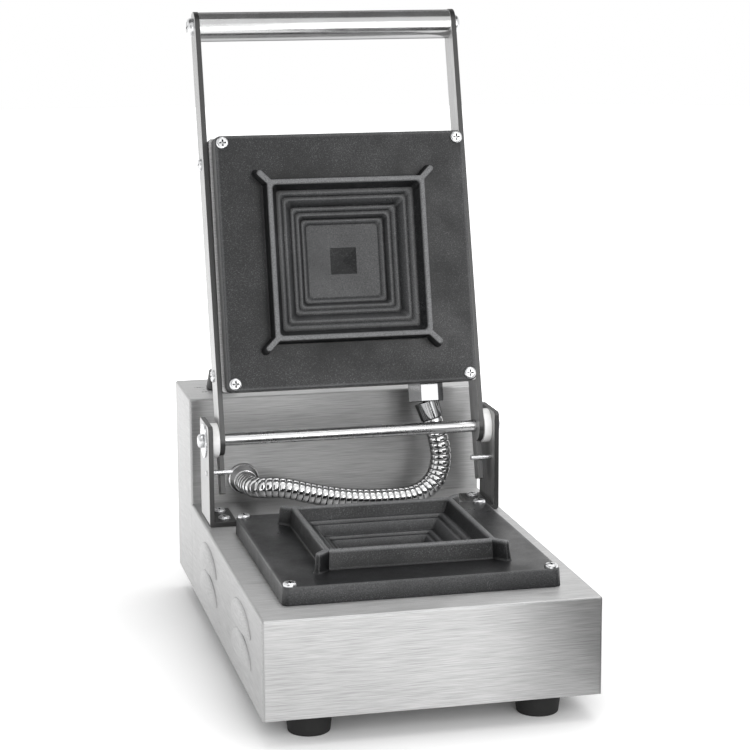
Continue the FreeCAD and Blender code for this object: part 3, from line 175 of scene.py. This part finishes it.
# Camera, solved from the photograph's edges
CAMERA_PLACE = Vector((-374.7, -1648.7, 556.3)) * MM
CAMERA_YAW = math.radians(12.97)
CAMERA_PITCH = math.radians(-11.16)
CAMERA_ROLL = math.radians(-0.31)
CAMERA_LENS = 104.95
SENSOR_WIDTH = 36
CLIP_START = 0.01

# Lamps: place, target, size, power in watts, and whether reflections show the lamp
LAMPS = {
    "top_soft": ((0.3, 0.2, 2.2), (0, 0, 0.2), (1.6, 1.6), 16, True),
    "left_soft": ((-2.0, -0.9, 0.9), (0, 0, 0.2), (1, 1), 4, False),
    "front_soft": ((-0.3, -2.4, 1.1), (0, 0, 0.2), (1.6, 1.6), 30, False),
    "right_soft": ((0.9, -1.8, 0.9), (0.1, 0.1, 0.3), (1, 1), 7.5, True),
    "low_soft": ((0.5, -2.3, 0.33), (0, 0, 0.1), (0.42, 0.5), 3.5, True),
}
# Dark cards: place, target, size and level of grey
CARDS = {
    "top_card": ((0, 0.18, 0.64), (0, 0.18, 0), (0.6, 0.2), 0.12),
    "right_card": ((0.57, -0.45, 0.13), (0.57, 0, 0.13), (0.88, 0.26), 0.06),
    "floor_card": ((0.53, -0.6, 0.001), (0.53, -0.6, 1), (0.78, 0.74), 0.06),
    "left_card": ((-0.75, -1, 0.6), (0, 0, 0.6), (0.5, 1.2), 0.05),
}
FLOOR_RADIUS = 6
FLOOR_SIDES = 64
FLOOR_SHADOW_REACH = 0.16
FLOOR_FADE = (0.3, 0.85)
WORLD_FILL = 0.4

# Grain of brushed metal: how fine its streaks are along each axis, per metre
SHEET_GRAIN = (40, 3200, 3200)
SHEET_SIDE_GRAIN = (3200, 40, 3200)
BAR_GRAIN = (3200, 3200, 40)


# Node graphs

class Graph:
    """A node tree, with short calls for the few kinds of node that are used here."""

    def __init__(self, owner):
        owner.use_nodes = True
        self.tree = owner.node_tree

    def add(self, kind, **settings):
        node = self.tree.nodes.new(kind)
        for name, setting in settings.items():
            setattr(node, name, setting)
        return node

    def feed(self, socket, source):
        """Links a socket, or sets it where the source is a plain value."""
        if isinstance(source, bpy.types.NodeSocket):
            self.tree.links.new(source, socket)
        else:
            socket.default_value = source

    def noise(self, vector, scale, detail=3.0, roughness=0.6):
        node = self.add("ShaderNodeTexNoise")
        self.feed(node.inputs["Vector"], vector)
        self.feed(node.inputs["Scale"], scale)
        self.feed(node.inputs["Detail"], detail)
        self.feed(node.inputs["Roughness"], roughness)
        return node.outputs["Fac"]

    def math(self, operation, first, second=0.5):
        node = self.add("ShaderNodeMath", operation=operation)
        self.feed(node.inputs[0], first)
        self.feed(node.inputs[1], second)
        return node.outputs[0]

    def spread(self, source, low, high, start=0.3, end=0.7):
        """Maps start to end onto low to high."""
        node = self.add("ShaderNodeMapRange")
        settings = {"Value": source, "From Min": start, "From Max": end, "To Min": low, "To Max": high}
        for name, setting in settings.items():
            self.feed(node.inputs[name], setting)
        return node.outputs["Result"]

    def mix(self, factor, first, second, kind="RGBA"):
        node = self.add("ShaderNodeMix", data_type=kind)
        self.feed(node.inputs["Factor"], factor)
        self.feed(node.inputs["A"], first)
        self.feed(node.inputs["B"], second)
        return node.outputs["Result"]


class MaterialGraph(Graph):
    """A new material's nodes around its shader."""

    def __init__(self, name):
        self.material = bpy.data.materials.new(name)
        super().__init__(self.material)
        self.shader = self.tree.nodes["Principled BSDF"]
        coords = self.add("ShaderNodeTexCoord")
        self.place = coords.outputs["Object"]
        self.normal = coords.outputs["Normal"]

    def set(self, **inputs):
        for name, source in inputs.items():
            self.feed(self.shader.inputs[name.replace("_", " ")], source)

    def stretched(self, scale, turn=(0, 0, 0)):
        """The place, turned and then scaled along each axis."""
        turned = self.add("ShaderNodeMapping", vector_type="TEXTURE")
        self.feed(turned.inputs["Vector"], self.place)
        self.feed(turned.inputs["Rotation"], turn)
        scaled = self.add("ShaderNodeMapping")
        self.feed(scaled.inputs["Vector"], turned.outputs["Vector"])
        self.feed(scaled.inputs["Scale"], scale)
        return scaled.outputs["Vector"]

    def bump(self, height, strength, distance):
        node = self.add("ShaderNodeBump")
        self.feed(node.inputs["Height"], height)
        self.feed(node.inputs["Strength"], strength)
        self.feed(node.inputs["Distance"], distance)
        return node.outputs["Normal"]

    def facing_side(self):
        """1 on faces that look along X, 0 on the others."""
        parts = self.add("ShaderNodeSeparateXYZ")
        self.feed(parts.inputs["Vector"], self.normal)
        return self.spread(self.math("ABSOLUTE", parts.outputs["X"]), 0.0, 1.0, start=0.6, end=0.8)

    def hollow_shade(self, distance):
        """1 deep in grooves and inner corners, 0 in the open, from ambient occlusion: the mask of painted shade.
        """
        node = self.add("ShaderNodeAmbientOcclusion", samples=8, only_local=True)
        self.feed(node.inputs["Distance"], distance)
        return self.spread(node.outputs["AO"], 1.0, 0.0, start=0.35, end=0.85)

    def direction(self, parts):
        node = self.add("ShaderNodeCombineXYZ")
        for socket, part in zip(node.inputs, parts):
            self.feed(socket, part)
        return node.outputs["Vector"]


def grey(level, tint=0.0):
    return (level - tint * 0.5, level, level + tint, 1)


def opaque(colour, factor=1.0):
    """A colour with its alpha, made darker or lighter by a factor."""
    return tuple(min(part * factor, 1) for part in colour) + (1,)


# Materials

def brushed_steel(name, level, grain=SHEET_GRAIN, side_grain=SHEET_SIDE_GRAIN,
                  across=(0, 0.05, 1), edge=1.0, tilt=0.0):
    """Brushed metal: streaks along the grain's small axis, and gloss that spreads across them."""
    graph = MaterialGraph(name)
    turn = (tilt, 0, 0)
    side = graph.facing_side()
    flat_streaks = graph.noise(graph.stretched(grain, turn), 1, detail=2)
    side_streaks = graph.noise(graph.stretched(side_grain, turn), 1, detail=2)
    streaks = graph.mix(side, flat_streaks, side_streaks, "FLOAT")
    # Broad lighter and darker patches added to the tone: painted uneven reflection on the sheet.
    cloud = graph.noise(graph.place, 7, detail=2)
    streak_shade = graph.spread(streaks, 0.05, 0.85, start=0.34, end=0.66)
    shade = graph.math("ADD", streak_shade, graph.spread(cloud, -0.1, 0.22))
    tone = graph.mix(shade, grey(level * 0.68), grey(level * 1.22))
    if edge < 1:
        tone = graph.mix(side, grey(level * edge), tone)
    graph.set(Metallic=1.0, Base_Color=tone, Roughness=graph.spread(streaks, 0.4, 0.47), Anisotropic=0.8)
    graph.set(Normal=graph.bump(streaks, strength=0.06, distance=0.04 * MM), Tangent=graph.direction(across))
    return graph.material


def brushed_bar(name, tilt=0.0):
    """Flat bar, brushed along its length, with darker narrow faces."""
    return brushed_steel(name, 0.54, BAR_GRAIN, BAR_GRAIN, across=(1, 1, 0), edge=0.2, tilt=tilt)


def chrome(name, level=0.82, roughness=0.08):
    """Polished plating, hazy from handling, with painted shade in its grooves, and darker at grazing angles."""
    graph = MaterialGraph(name)
    haze = graph.noise(graph.place, 45, detail=4)
    fine = graph.noise(graph.place, 900, detail=2)
    bright = graph.mix(graph.spread(haze, 0, 1), grey(level * 0.94), grey(level, 0.006))
    # Painted shade: the colour goes dark deep in grooves, such as between the hose's ribs.
    tone = graph.mix(graph.hollow_shade(1 * MM), bright, grey(0.06))
    graph.set(Metallic=1.0, Base_Color=tone, Specular_Tint=grey(0.1))
    smear = graph.spread(haze, roughness - 0.03, roughness + 0.05)
    graph.set(Roughness=graph.math("ADD", smear, graph.spread(fine, -0.01, 0.01)))
    graph.set(Normal=graph.bump(fine, strength=0.03, distance=0.03 * MM))
    return graph.material


def coated_casting(name):
    """Dark non-stick coating, speckled and patchy in gloss, lighter grey where the mesh's wear and highlight
    weight is high (rubbed coating on the rim's top, painted highlight on the edges below it), and painted shade in
    the wells.
    """
    graph = MaterialGraph(name)
    grain = graph.noise(graph.place, 1100, detail=2, roughness=0.7)
    patch = graph.noise(graph.place, 26, detail=4)
    speck = graph.spread(graph.noise(graph.place, 1300, detail=2, roughness=0.7), 0, 1, start=0.52, end=0.72)
    speck = graph.math("MULTIPLY", speck, graph.spread(patch, 0.3, 0.9))
    # Rubbed coating and painted highlight, as weighted on the mesh.
    wear_and_highlight_weight = graph.add("ShaderNodeAttribute", attribute_name="wear_and_highlight").outputs["Fac"]
    wear_and_highlight_weight = graph.math("MULTIPLY", wear_and_highlight_weight, graph.spread(grain, 0.3, 0.9))
    tone = graph.mix(graph.spread(patch, 0, 1), grey(0.003, 0.0005), grey(0.009, 0.001))
    tone = graph.mix(speck, tone, grey(0.11, 0.002))
    tone = graph.mix(wear_and_highlight_weight, tone, grey(0.22, 0.005))
    # Painted shade: near black deep in the wells and inner corners.
    tone = graph.mix(graph.hollow_shade(22 * MM), tone, grey(0.001))
    graph.set(Base_Color=tone, Roughness=graph.spread(patch, 0.44, 0.26), Specular_IOR_Level=0.38)
    graph.set(Normal=graph.bump(grain, strength=0.6, distance=0.08 * MM))
    return graph.material


def bright_zinc(name):
    """Zinc plating, slightly hazy, with painted shade in the screws' recesses."""
    graph = MaterialGraph(name)
    haze = graph.noise(graph.place, 240)
    fine = graph.noise(graph.place, 2600, detail=2)
    bright = graph.mix(graph.spread(haze, 0, 1), grey(0.62, 0.01), grey(0.8, 0.01))
    # Painted shade: dark deep in the screws' recesses.
    graph.set(Metallic=1.0, Base_Color=graph.mix(graph.hollow_shade(2.5 * MM), bright, grey(0.02)))
    graph.set(Roughness=graph.spread(haze, 0.2, 0.36))
    graph.set(Normal=graph.bump(fine, strength=0.08, distance=0.05 * MM))
    return graph.material


def moulded(name, colour, roughness, grain=900.0, strength=0.1, specular=0.5):
    """Moulded plastic or rubber with a fine texture and slight colour variation."""
    graph = MaterialGraph(name)
    cloud = graph.noise(graph.place, 60)
    fine = graph.noise(graph.place, grain, detail=2)
    graph.set(Base_Color=graph.mix(graph.spread(cloud, 0, 1), opaque(colour, 0.82), opaque(colour, 1.15)))
    graph.set(Roughness=graph.spread(cloud, roughness - 0.05, roughness + 0.06))
    graph.set(Specular_IOR_Level=specular, Normal=graph.bump(fine, strength, distance=0.1 * MM))
    return graph.material


def lens(name, colour):
    """Tinted lamp cap with a ribbed inside."""
    graph = MaterialGraph(name)
    rib = graph.noise(graph.stretched((1, 1, 0.2)), 1600, detail=1)
    graph.set(Base_Color=graph.mix(graph.spread(rib, 0, 1), opaque(colour, 0.6), opaque(colour)))
    graph.set(Roughness=graph.spread(rib, 0.06, 0.14), Transmission_Weight=0.4, IOR=1.49)
    return graph.material


def wool(name):
    """Felted mineral wool in flat layers."""
    graph = MaterialGraph(name)
    felt = graph.noise(graph.stretched((120, 120, 500)), 6, detail=5)
    graph.set(Base_Color=graph.mix(graph.spread(felt, 0, 1), (0.55, 0.5, 0.4, 1), (0.85, 0.82, 0.72, 1)))
    graph.set(Roughness=graph.spread(felt, 0.85, 1.0), Normal=graph.bump(felt, strength=0.6, distance=1 * MM))
    return graph.material


def dull_metal(name, dark, light, roughness):
    """Oxidised or drawn metal with blotches."""
    graph = MaterialGraph(name)
    blotch = graph.noise(graph.place, 90, detail=4)
    graph.set(Metallic=1.0, Base_Color=graph.mix(graph.spread(blotch, 0, 1), opaque(dark), opaque(light)))
    graph.set(Roughness=graph.spread(blotch, roughness - 0.08, roughness + 0.1))
    return graph.material


MATERIALS = {
    "sheet_steel": brushed_steel("brushed_sheet", 0.46),
    "bar_steel": brushed_bar("brushed_bar", -ARM_LEAN),
    "chrome": chrome("polished_chrome"),
    "coated_casting": coated_casting("coated_casting"),
    "zinc": bright_zinc("bright_zinc"),
    "nylon": moulded("natural_nylon", (0.92, 0.92, 0.9), 0.4, grain=500, strength=0.06),
    "rubber": moulded("black_rubber", (0.02, 0.02, 0.02), 0.7, grain=1400, strength=0.25, specular=0.3),
    "black_plastic": moulded("black_plastic", (0.018, 0.018, 0.019), 0.34, grain=1800, strength=0.08),
    "control_case": moulded("pale_case", (0.7, 0.68, 0.62), 0.5),
    "mineral_wool": wool("mineral_wool"),
    "heating_element": dull_metal("oxidised_element", (0.2, 0.18, 0.16), (0.4, 0.38, 0.35), 0.5),
    "lead_wire": moulded("red_silicone", (0.45, 0.05, 0.035), 0.55),
    "green_lens": lens("green_lens", (0.04, 0.5, 0.12)),
    "red_lens": lens("red_lens", (0.65, 0.04, 0.03)),
    "white_print": moulded("white_print", (0.85, 0.85, 0.83), 0.5),
    "brass": dull_metal("bright_brass", (0.6, 0.42, 0.15), (0.8, 0.6, 0.27), 0.22),
    "capillary": dull_metal("drawn_copper", (0.5, 0.25, 0.14), (0.75, 0.42, 0.28), 0.3),
}
upright_bar = brushed_bar("brushed_bracket")
OWN_MATERIALS = {
    "hinge_bracket_left": upright_bar,
    "hinge_bracket_right": upright_bar,
    # Satin chrome set darker than the plain chrome: the satin roughness is the finish, the darker level is painted
    # shade.
    "handle_tube": chrome("satin_tube_with_painted_shade", 0.62, 0.2),
    "hinge_rod": chrome("satin_rod", 0.72, 0.26),
    # A darker copy of the chrome for the connector: painted shade.
    "conduit_connector": chrome("chrome_with_painted_shade", 0.32, 0.1),
}


def finish_of_node(node):
    return OWN_MATERIALS.get(node) or MATERIALS[slot_of_node[node]]


def dress(piece, material):
    piece.data.materials.clear()
    piece.data.materials.append(material)


def dress_nodes():
    for name, piece in nodes.items():
        for index in range(len(piece.material_slots)):
            piece.material_slots[index].material = finish_of_node(name)


# Meshes and pieces

def placed(name, data):
    """A new object of the scene that holds a mesh, a lamp or a camera."""
    piece = bpy.data.objects.new(name, data)
    bpy.context.scene.collection.objects.link(piece)
    return piece


def mesh_of(name, shape):
    """Turns a shape into a mesh."""
    mesh = bpy.data.meshes.new(name)
    shape.to_mesh(mesh)
    shape.free()
    return mesh


def full_turn(steps):
    """Angles evenly round a circle."""
    return [2 * math.pi * step / steps for step in range(steps)]


def bridge(shape, rings):
    """Faces between each closed ring of vertices and the next."""
    faces = []
    for first, second in zip(rings, rings[1:]):
        for index in range(len(first)):
            after = (index + 1) % len(first)
            faces.append(shape.faces.new((first[index], first[after], second[after], second[index])))
    return faces


def stand_for(piece, node):
    """Gives a piece the material, the body and the place of a node."""
    dress(piece, finish_of_node(node))
    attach(piece, body_of_node[node])
    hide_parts(node)


# Pieces with softened edges, in the places of their nodes

def soft_copy(node, width):
    """A copy of a node whose sharp edges are rounded by width, and which stands for it."""
    mesh = nodes[node].data.copy()
    shape = bmesh.new()
    shape.from_mesh(mesh)
    bmesh.ops.remove_doubles(shape, verts=shape.verts, dist=WELD_DISTANCE)
    bmesh.ops.dissolve_limit(shape, angle_limit=FLAT_ANGLE, verts=shape.verts, edges=shape.edges)
    for face in shape.faces:
        face.smooth = True
    weight = shape.edges.layers.float.new("bevel_weight_edge")
    for edge in shape.edges:
        sharp = edge.calc_face_angle(0.0) > SHARP_ANGLE
        edge[weight] = 1.0 if sharp else 0.0
        edge.smooth = not sharp
    shape.to_mesh(mesh)
    shape.free()
    piece = placed(node + "_finished", mesh)
    bevel = piece.modifiers.new("rounded", "BEVEL")
    bevel.width = width
    bevel.segments = EDGE_SEGMENTS
    bevel.limit_method = "WEIGHT"
    bevel.use_clamp_overlap = False
    bevel.harden_normals = True
    stand_for(piece, node)


# Baking plates

def rounded_square(half, radius, level):
    """Points of a square with rounded corners, in a plate's own millimetres."""
    points = []
    middle = half - radius
    for corner in range(4):
        right = 1 if corner in (0, 3) else -1
        back = 1 if corner in (0, 1) else -1
        for step in range(CORNER_STEPS + 1):
            turn = math.pi / 2 * (corner + step / CORNER_STEPS)
            across = middle * right + radius * math.cos(turn)
            deep = middle * back + radius * math.sin(turn)
            points.append(Vector((across, deep, level)))
    return points


def rounded_profile(profile):
    """The profile with each corner replaced by a short curve."""
    points = []
    for index, (half, level, rounding, plan, wear_and_highlight) in enumerate(profile):
        if rounding == 0:
            points.append((half, level, plan, wear_and_highlight))
            continue
        here = Vector((half, level))
        before = Vector(profile[index - 1][:2]) - here
        after = Vector(profile[index + 1][:2]) - here
        reach = min(rounding, ROUND_SHARE * before.length, ROUND_SHARE * after.length)
        first = here + before.normalized() * reach
        last = here + after.normalized() * reach
        for step in range(ROUND_STEPS + 1):
            share = step / ROUND_STEPS
            spot = first.lerp(here, share).lerp(here.lerp(last, share), share)
            points.append((spot.x, spot.y, plan, wear_and_highlight))
    return points


def ear_outline(half_width, reach, level, turn):
    """A rounded finger from inside the rim's corner outwards along a diagonal."""
    spots = [(EAR_START, half_width), (EAR_START, -half_width)]
    for step in range(EAR_STEPS + 1):
        angle = math.pi * (step / EAR_STEPS - 0.5)
        spots.append((reach - half_width + half_width * math.cos(angle), half_width * math.sin(angle)))
    diagonal = Matrix.Rotation(turn, 3, "Z")
    return [diagonal @ Vector((outward, across, level)) for outward, across in spots]


def loft(shape, loops, wear_and_highlight_levels, place):
    """A closed skin over loops of equal length, with each loop's wear and highlight weight on its points."""
    wear_and_highlight_weight = shape.verts.layers.float["wear_and_highlight"]
    rings = []
    for loop, wear_and_highlight in zip(loops, wear_and_highlight_levels):
        ring = [shape.verts.new(place(point)) for point in loop]
        for vertex in ring:
            vertex[wear_and_highlight_weight] = wear_and_highlight
        rings.append(ring)
    bridge(shape, rings)
    shape.faces.new(rings[0])
    shape.faces.new(rings[-1])


def baking_plate(node, place):
    """The cast plate: slab, rim with corner ears, stepped well and the pyramid in its floor."""
    shape = bmesh.new()
    shape.verts.layers.float.new("wear_and_highlight")
    profile = rounded_profile(PLATE_PROFILE)
    squares = [rounded_square(half, plan, level) for half, level, plan, _ in profile]
    loft(shape, squares, [wear_and_highlight for *_, wear_and_highlight in profile], place)
    for corner in range(4):
        turn = math.pi / 4 + corner * math.pi / 2
        outlines = [ear_outline(width, reach, level, turn) for level, width, reach, _ in EAR_LEVELS]
        loft(shape, outlines, [wear_and_highlight for *_, wear_and_highlight in EAR_LEVELS], place)
    bmesh.ops.recalc_face_normals(shape, faces=shape.faces)
    for face in shape.faces:
        face.smooth = True
    name = node + "_cast"
    piece = placed(name, mesh_of(name, shape))
    piece.modifiers.new("even_normals", "WEIGHTED_NORMAL")
    stand_for(piece, node)


def lower_spot(point):
    return LOWER_PLATE + point * MM


def upper_spot(point):
    """A point of the upper plate at rest, from its distances along the lid and out of the lid's face."""
    along_lid = (UPPER_PLATE_ALONG + point.y) * MM
    out = (UPPER_PLATE_OUT + point.z) * MM
    back = along_lid * math.sin(LID_LEAN) - out * math.cos(LID_LEAN)
    up = along_lid * math.cos(LID_LEAN) + out * math.sin(LID_LEAN)
    return HINGE + Vector((point.x * MM, back, up))


# Marks on the controls

def thin_bar(shape, middle, width, length, turn=0.0):
    """A bar of print, lying flat and turned about the upright axis."""
    place = Matrix.Translation(middle) @ Matrix.Rotation(turn, 4, "Z")
    bmesh.ops.create_cube(shape, size=1, matrix=place @ Matrix.Diagonal((width, length, PRINT, 1)))


def figure(shape, body, middle):
    """Raised print of a number, read from the front."""
    curve = bpy.data.curves.new("figure", "FONT")
    curve.body = body
    curve.size = FIGURE_SIZE
    curve.extrude = PRINT / 2
    curve.align_x = "CENTER"
    curve.align_y = "CENTER"
    holder = bpy.data.objects.new("figure", curve)
    mesh = bpy.data.meshes.new_from_object(holder)
    mesh.transform(Matrix.Translation(middle))
    shape.from_mesh(mesh)
    bpy.data.objects.remove(holder)
    bpy.data.curves.remove(curve)
    bpy.data.meshes.remove(mesh)


def printed(name, shape, body, finish, place=Matrix()):
    """Turns a shape into a piece of print that rides a body."""
    mesh = mesh_of(name, shape)
    mesh.transform(place)
    piece = placed(name, mesh)
    dress(piece, MATERIALS[finish])
    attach(piece, body)


def dial(name, joint, numbers):
    """Ticks and numbers round a knob, clockwise from its rest at the front, and the line on the knob."""
    shape = bmesh.new()
    axis = Vector(joint["pos_m"])
    middle = axis + Vector((0, 0, PRINT / 2))
    sweep = math.radians(joint["range_deg"][1])
    steps = 2 * len(numbers) - 2
    for step in range(steps + 1):
        turn = sweep * step / steps
        outward = Vector((-math.sin(turn), -math.cos(turn), 0))
        at_number = step % 2 == 0
        tick = LONG_TICK if at_number else SHORT_TICK
        thin_bar(shape, middle + outward * TICK_REACH, TICK_WIDTH, tick, -turn)
        if at_number:
            figure(shape, numbers[step // 2], middle + outward * FIGURE_REACH)
    printed(name + "_scale", shape, "base", "black_plastic")
    line = bmesh.new()
    spot = (axis.x, axis.y - KNOB_LINE_REACH, KNOB_GROOVE_Z + PRINT / 2)
    thin_bar(line, spot, KNOB_LINE_WIDTH, KNOB_LINE_LENGTH)
    printed(name + "_line", line, joint["child"], "white_print")


def switch_marks(joint):
    """A bar and a ring on the rocker's two slopes; the ring's end is down at rest."""
    shape = bmesh.new()
    thin_bar(shape, (0, ROCKER_MARK_REACH, 0), ROCKER_BAR_WIDTH, ROCKER_BAR_LENGTH)
    section = (
        (ROCKER_RING_OUTER, -PRINT / 2), (ROCKER_RING_OUTER, PRINT / 2),
        (ROCKER_RING_INNER, PRINT / 2), (ROCKER_RING_INNER, -PRINT / 2),
    )
    rings = []
    for reach, level in section:
        ring = []
        for turn in full_turn(ROCKER_RING_STEPS):
            spot = (reach * math.cos(turn), reach * math.sin(turn) - ROCKER_MARK_REACH, level)
            ring.append(shape.verts.new(spot))
        rings.append(ring)
    bridge(shape, rings + rings[:1])
    slope = (ROCKER_TIP - ROCKER_DIP) / ROCKER_HALF
    for vertex in shape.verts:
        vertex.co.z += ROCKER_DIP + abs(vertex.co.y) * slope + PRINT / 2
    bmesh.ops.recalc_face_normals(shape, faces=shape.faces)
    low, high = joint["range_deg"]
    rest_tilt = math.radians(high - low) / 2
    place = Matrix.Translation(joint["pos_m"]) @ Matrix.Rotation(rest_tilt, 4, "X")
    printed("rocker_marks", shape, joint["child"], "white_print", place)


# Conduit

def route_line(name, points):
    """Points along the route's smooth spline."""
    curve = bpy.data.curves.new(name, "CURVE")
    curve.dimensions = "3D"
    curve.resolution_u = SPLINE_STEPS
    spline = curve.splines.new("NURBS")
    spline.points.add(len(points) - 1)
    for point, place in zip(spline.points, points):
        point.co = (*(Vector(place) * MM), 1)
    spline.order_u = 3
    spline.use_endpoint_u = True
    holder = bpy.data.objects.new(name, curve)
    line = [vertex.co.copy() for vertex in bpy.data.meshes.new_from_object(holder).vertices]
    bpy.data.objects.remove(holder)
    bpy.data.curves.remove(curve)
    return line


def along(line, distance):
    """Place and direction at a distance along a line of points."""
    for first, second in zip(line, line[1:]):
        step = (second - first).length
        if distance <= step and step > 0:
            return first.lerp(second, distance / step), (second - first).normalized()
        distance -= step
    return line[-1].copy(), (line[-1] - line[-2]).normalized()


def conduit():
    """Ribbed metal hose from the gland to the connector: each rib is a rolled bead with a narrow groove."""
    line = route_line("conduit_route", HOSE_ROUTE)
    length = sum((second - first).length for first, second in zip(line, line[1:]))
    pitch = length / HOSE_RIBS
    marks = [((rib + part) * pitch, rise) for rib in range(HOSE_RIBS) for part, rise in RIB_PROFILE]
    marks.append((length, 0.0))
    shape = bmesh.new()
    side = Vector((0, 0, 1))
    rings = []
    for distance, rise in marks:
        middle, tangent = along(line, distance)
        side = (side - tangent * side.dot(tangent)).normalized()
        across = tangent.cross(side)
        radius = HOSE_ROOT + (HOSE_RADIUS - HOSE_ROOT) * rise
        ring = []
        for turn in full_turn(RING_POINTS):
            outward = side * math.cos(turn) + across * math.sin(turn)
            ring.append(shape.verts.new(middle + outward * radius))
        rings.append(ring)
    for face in bridge(shape, rings):
        face.smooth = True
    shape.faces.new(rings[0])
    shape.faces.new(rings[-1])
    bmesh.ops.recalc_face_normals(shape, faces=shape.faces)
    hose = placed("conduit_hose", mesh_of("conduit_hose", shape))
    dress(hose, MATERIALS["chrome"])
    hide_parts("flexible_conduit")
    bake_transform(hose, "base", "lid", start=BEND_START, end=BEND_END)


# Studio

def studio():
    """White floor and background, soft lamps above, in front and at both sides, and dark cards."""
    pale_floor()
    white_world()
    for name, lamp in LAMPS.items():
        soft_lamp(name, *lamp)
    for name, card in CARDS.items():
        dark_card(name, *card)


def face_target(piece, place, target):
    piece.location = place
    piece.rotation_euler = (Vector(target) - Vector(place)).to_track_quat("-Z", "Y").to_euler()


def soft_lamp(name, place, target, size, power, in_reflections):
    light = bpy.data.lights.new(name, "AREA")
    light.shape = "RECTANGLE"
    light.size, light.size_y = size
    light.energy = power
    holder = placed(name, light)
    holder.visible_glossy = in_reflections
    face_target(holder, place, target)


def dark_card(name, place, target, size, level):
    """A dark card that only reflections see. It draws dark lines on polished metal."""
    graph = MaterialGraph(name)
    graph.set(Base_Color=grey(0), Specular_IOR_Level=0.0, Emission_Color=grey(1), Emission_Strength=level)
    graph.material.cycles.emission_sampling = "NONE"
    across, up = size[0] / 2, size[1] / 2
    corners = [(-across, -up, 0), (across, -up, 0), (across, up, 0), (-across, up, 0)]
    mesh = bpy.data.meshes.new(name)
    mesh.from_pydata(corners, [], [(0, 1, 2, 3)])
    mesh.materials.append(graph.material)
    piece = placed(name, mesh)
    face_target(piece, place, target)
    piece.visible_camera = False
    piece.visible_diffuse = False
    piece.visible_shadow = False
    piece.visible_transmission = False


def pale_floor():
    shape = bmesh.new()
    bmesh.ops.create_circle(shape, cap_ends=True, radius=FLOOR_RADIUS, segments=FLOOR_SIDES)
    floor = placed("floor", mesh_of("floor", shape))
    dress(floor, floor_material())


def floor_material():
    """Pale floor that takes shadows, lifted to white for the camera and for reflections; near the object the lift
    is weaker, and ambient occlusion cuts it further into a painted contact shadow.
    """
    graph = MaterialGraph("pale_floor")
    cloud = graph.noise(graph.place, 3, detail=2)
    graph.set(Base_Color=graph.mix(graph.spread(cloud, 0, 1), grey(0.86), grey(0.88)), Roughness=0.9)
    distance = graph.add("ShaderNodeVectorMath", operation="LENGTH")
    graph.feed(distance.inputs[0], graph.place)
    far = graph.spread(distance.outputs["Value"], 0.0, 1.0, *FLOOR_FADE)
    # Painted contact shadow: ambient occlusion cuts the lift where the object is near.
    open_floor = graph.add("ShaderNodeAmbientOcclusion", samples=16)
    graph.feed(open_floor.inputs["Distance"], FLOOR_SHADOW_REACH)
    near = graph.spread(open_floor.outputs["AO"], 0.0, 0.45, start=0.2, end=0.95)
    glow = graph.mix(far, near, 1.0, "FLOAT")
    graph.set(Emission_Color=grey(1), Emission_Strength=graph.math("MULTIPLY", seen_rays(graph), glow))
    return graph.material


def seen_rays(graph):
    """1 for camera, glossy and transmission rays."""
    path = graph.add("ShaderNodeLightPath")
    seen = graph.math("MAXIMUM", path.outputs["Is Camera Ray"], path.outputs["Is Glossy Ray"])
    return graph.math("MAXIMUM", seen, path.outputs["Is Transmission Ray"])


def white_world():
    """White to the camera and in reflections, and a dimmer fill light on everything else."""
    world = bpy.data.worlds.new("white_studio")
    graph = Graph(world)
    background = graph.tree.nodes["Background"]
    graph.feed(background.inputs["Color"], grey(1))
    level = graph.spread(seen_rays(graph), WORLD_FILL, 1.0, start=0.0, end=1.0)
    graph.feed(background.inputs["Strength"], level)
    bpy.context.scene.world = world


def camera():
    """The photograph's camera, turned by yaw, pitch and roll."""
    ahead = Vector((math.sin(CAMERA_YAW), math.cos(CAMERA_YAW), 0))
    forward = ahead * math.cos(CAMERA_PITCH) + Vector((0, 0, math.sin(CAMERA_PITCH)))
    level = Vector((math.cos(CAMERA_YAW), -math.sin(CAMERA_YAW), 0))
    upright = level.cross(forward)
    right = level * math.cos(CAMERA_ROLL) + upright * math.sin(CAMERA_ROLL)
    up = upright * math.cos(CAMERA_ROLL) - level * math.sin(CAMERA_ROLL)
    data = bpy.data.cameras.new("photo_camera")
    data.lens = CAMERA_LENS
    data.sensor_width = SENSOR_WIDTH
    data.clip_start = CLIP_START
    holder = placed("photo_camera", data)
    turned = Matrix((right, up, -forward)).transposed().to_4x4()
    holder.matrix_world = Matrix.Translation(CAMERA_PLACE) @ turned
    bpy.context.scene.camera = holder


dress_nodes()
for soft_node, soft_width in SOFT_EDGES.items():
    soft_copy(soft_node, soft_width * MM)
baking_plate("lower_plate", lower_spot)
baking_plate("upper_plate", upper_spot)
dial("thermostat", joints["thermostat_turn"], THERMOSTAT_NUMBERS)
dial("timer", joints["timer_turn"], TIMER_NUMBERS)
switch_marks(joints["rocker_tilt"])
conduit()
studio()
camera()
bpy.context.scene.view_settings.view_transform = "Standard"
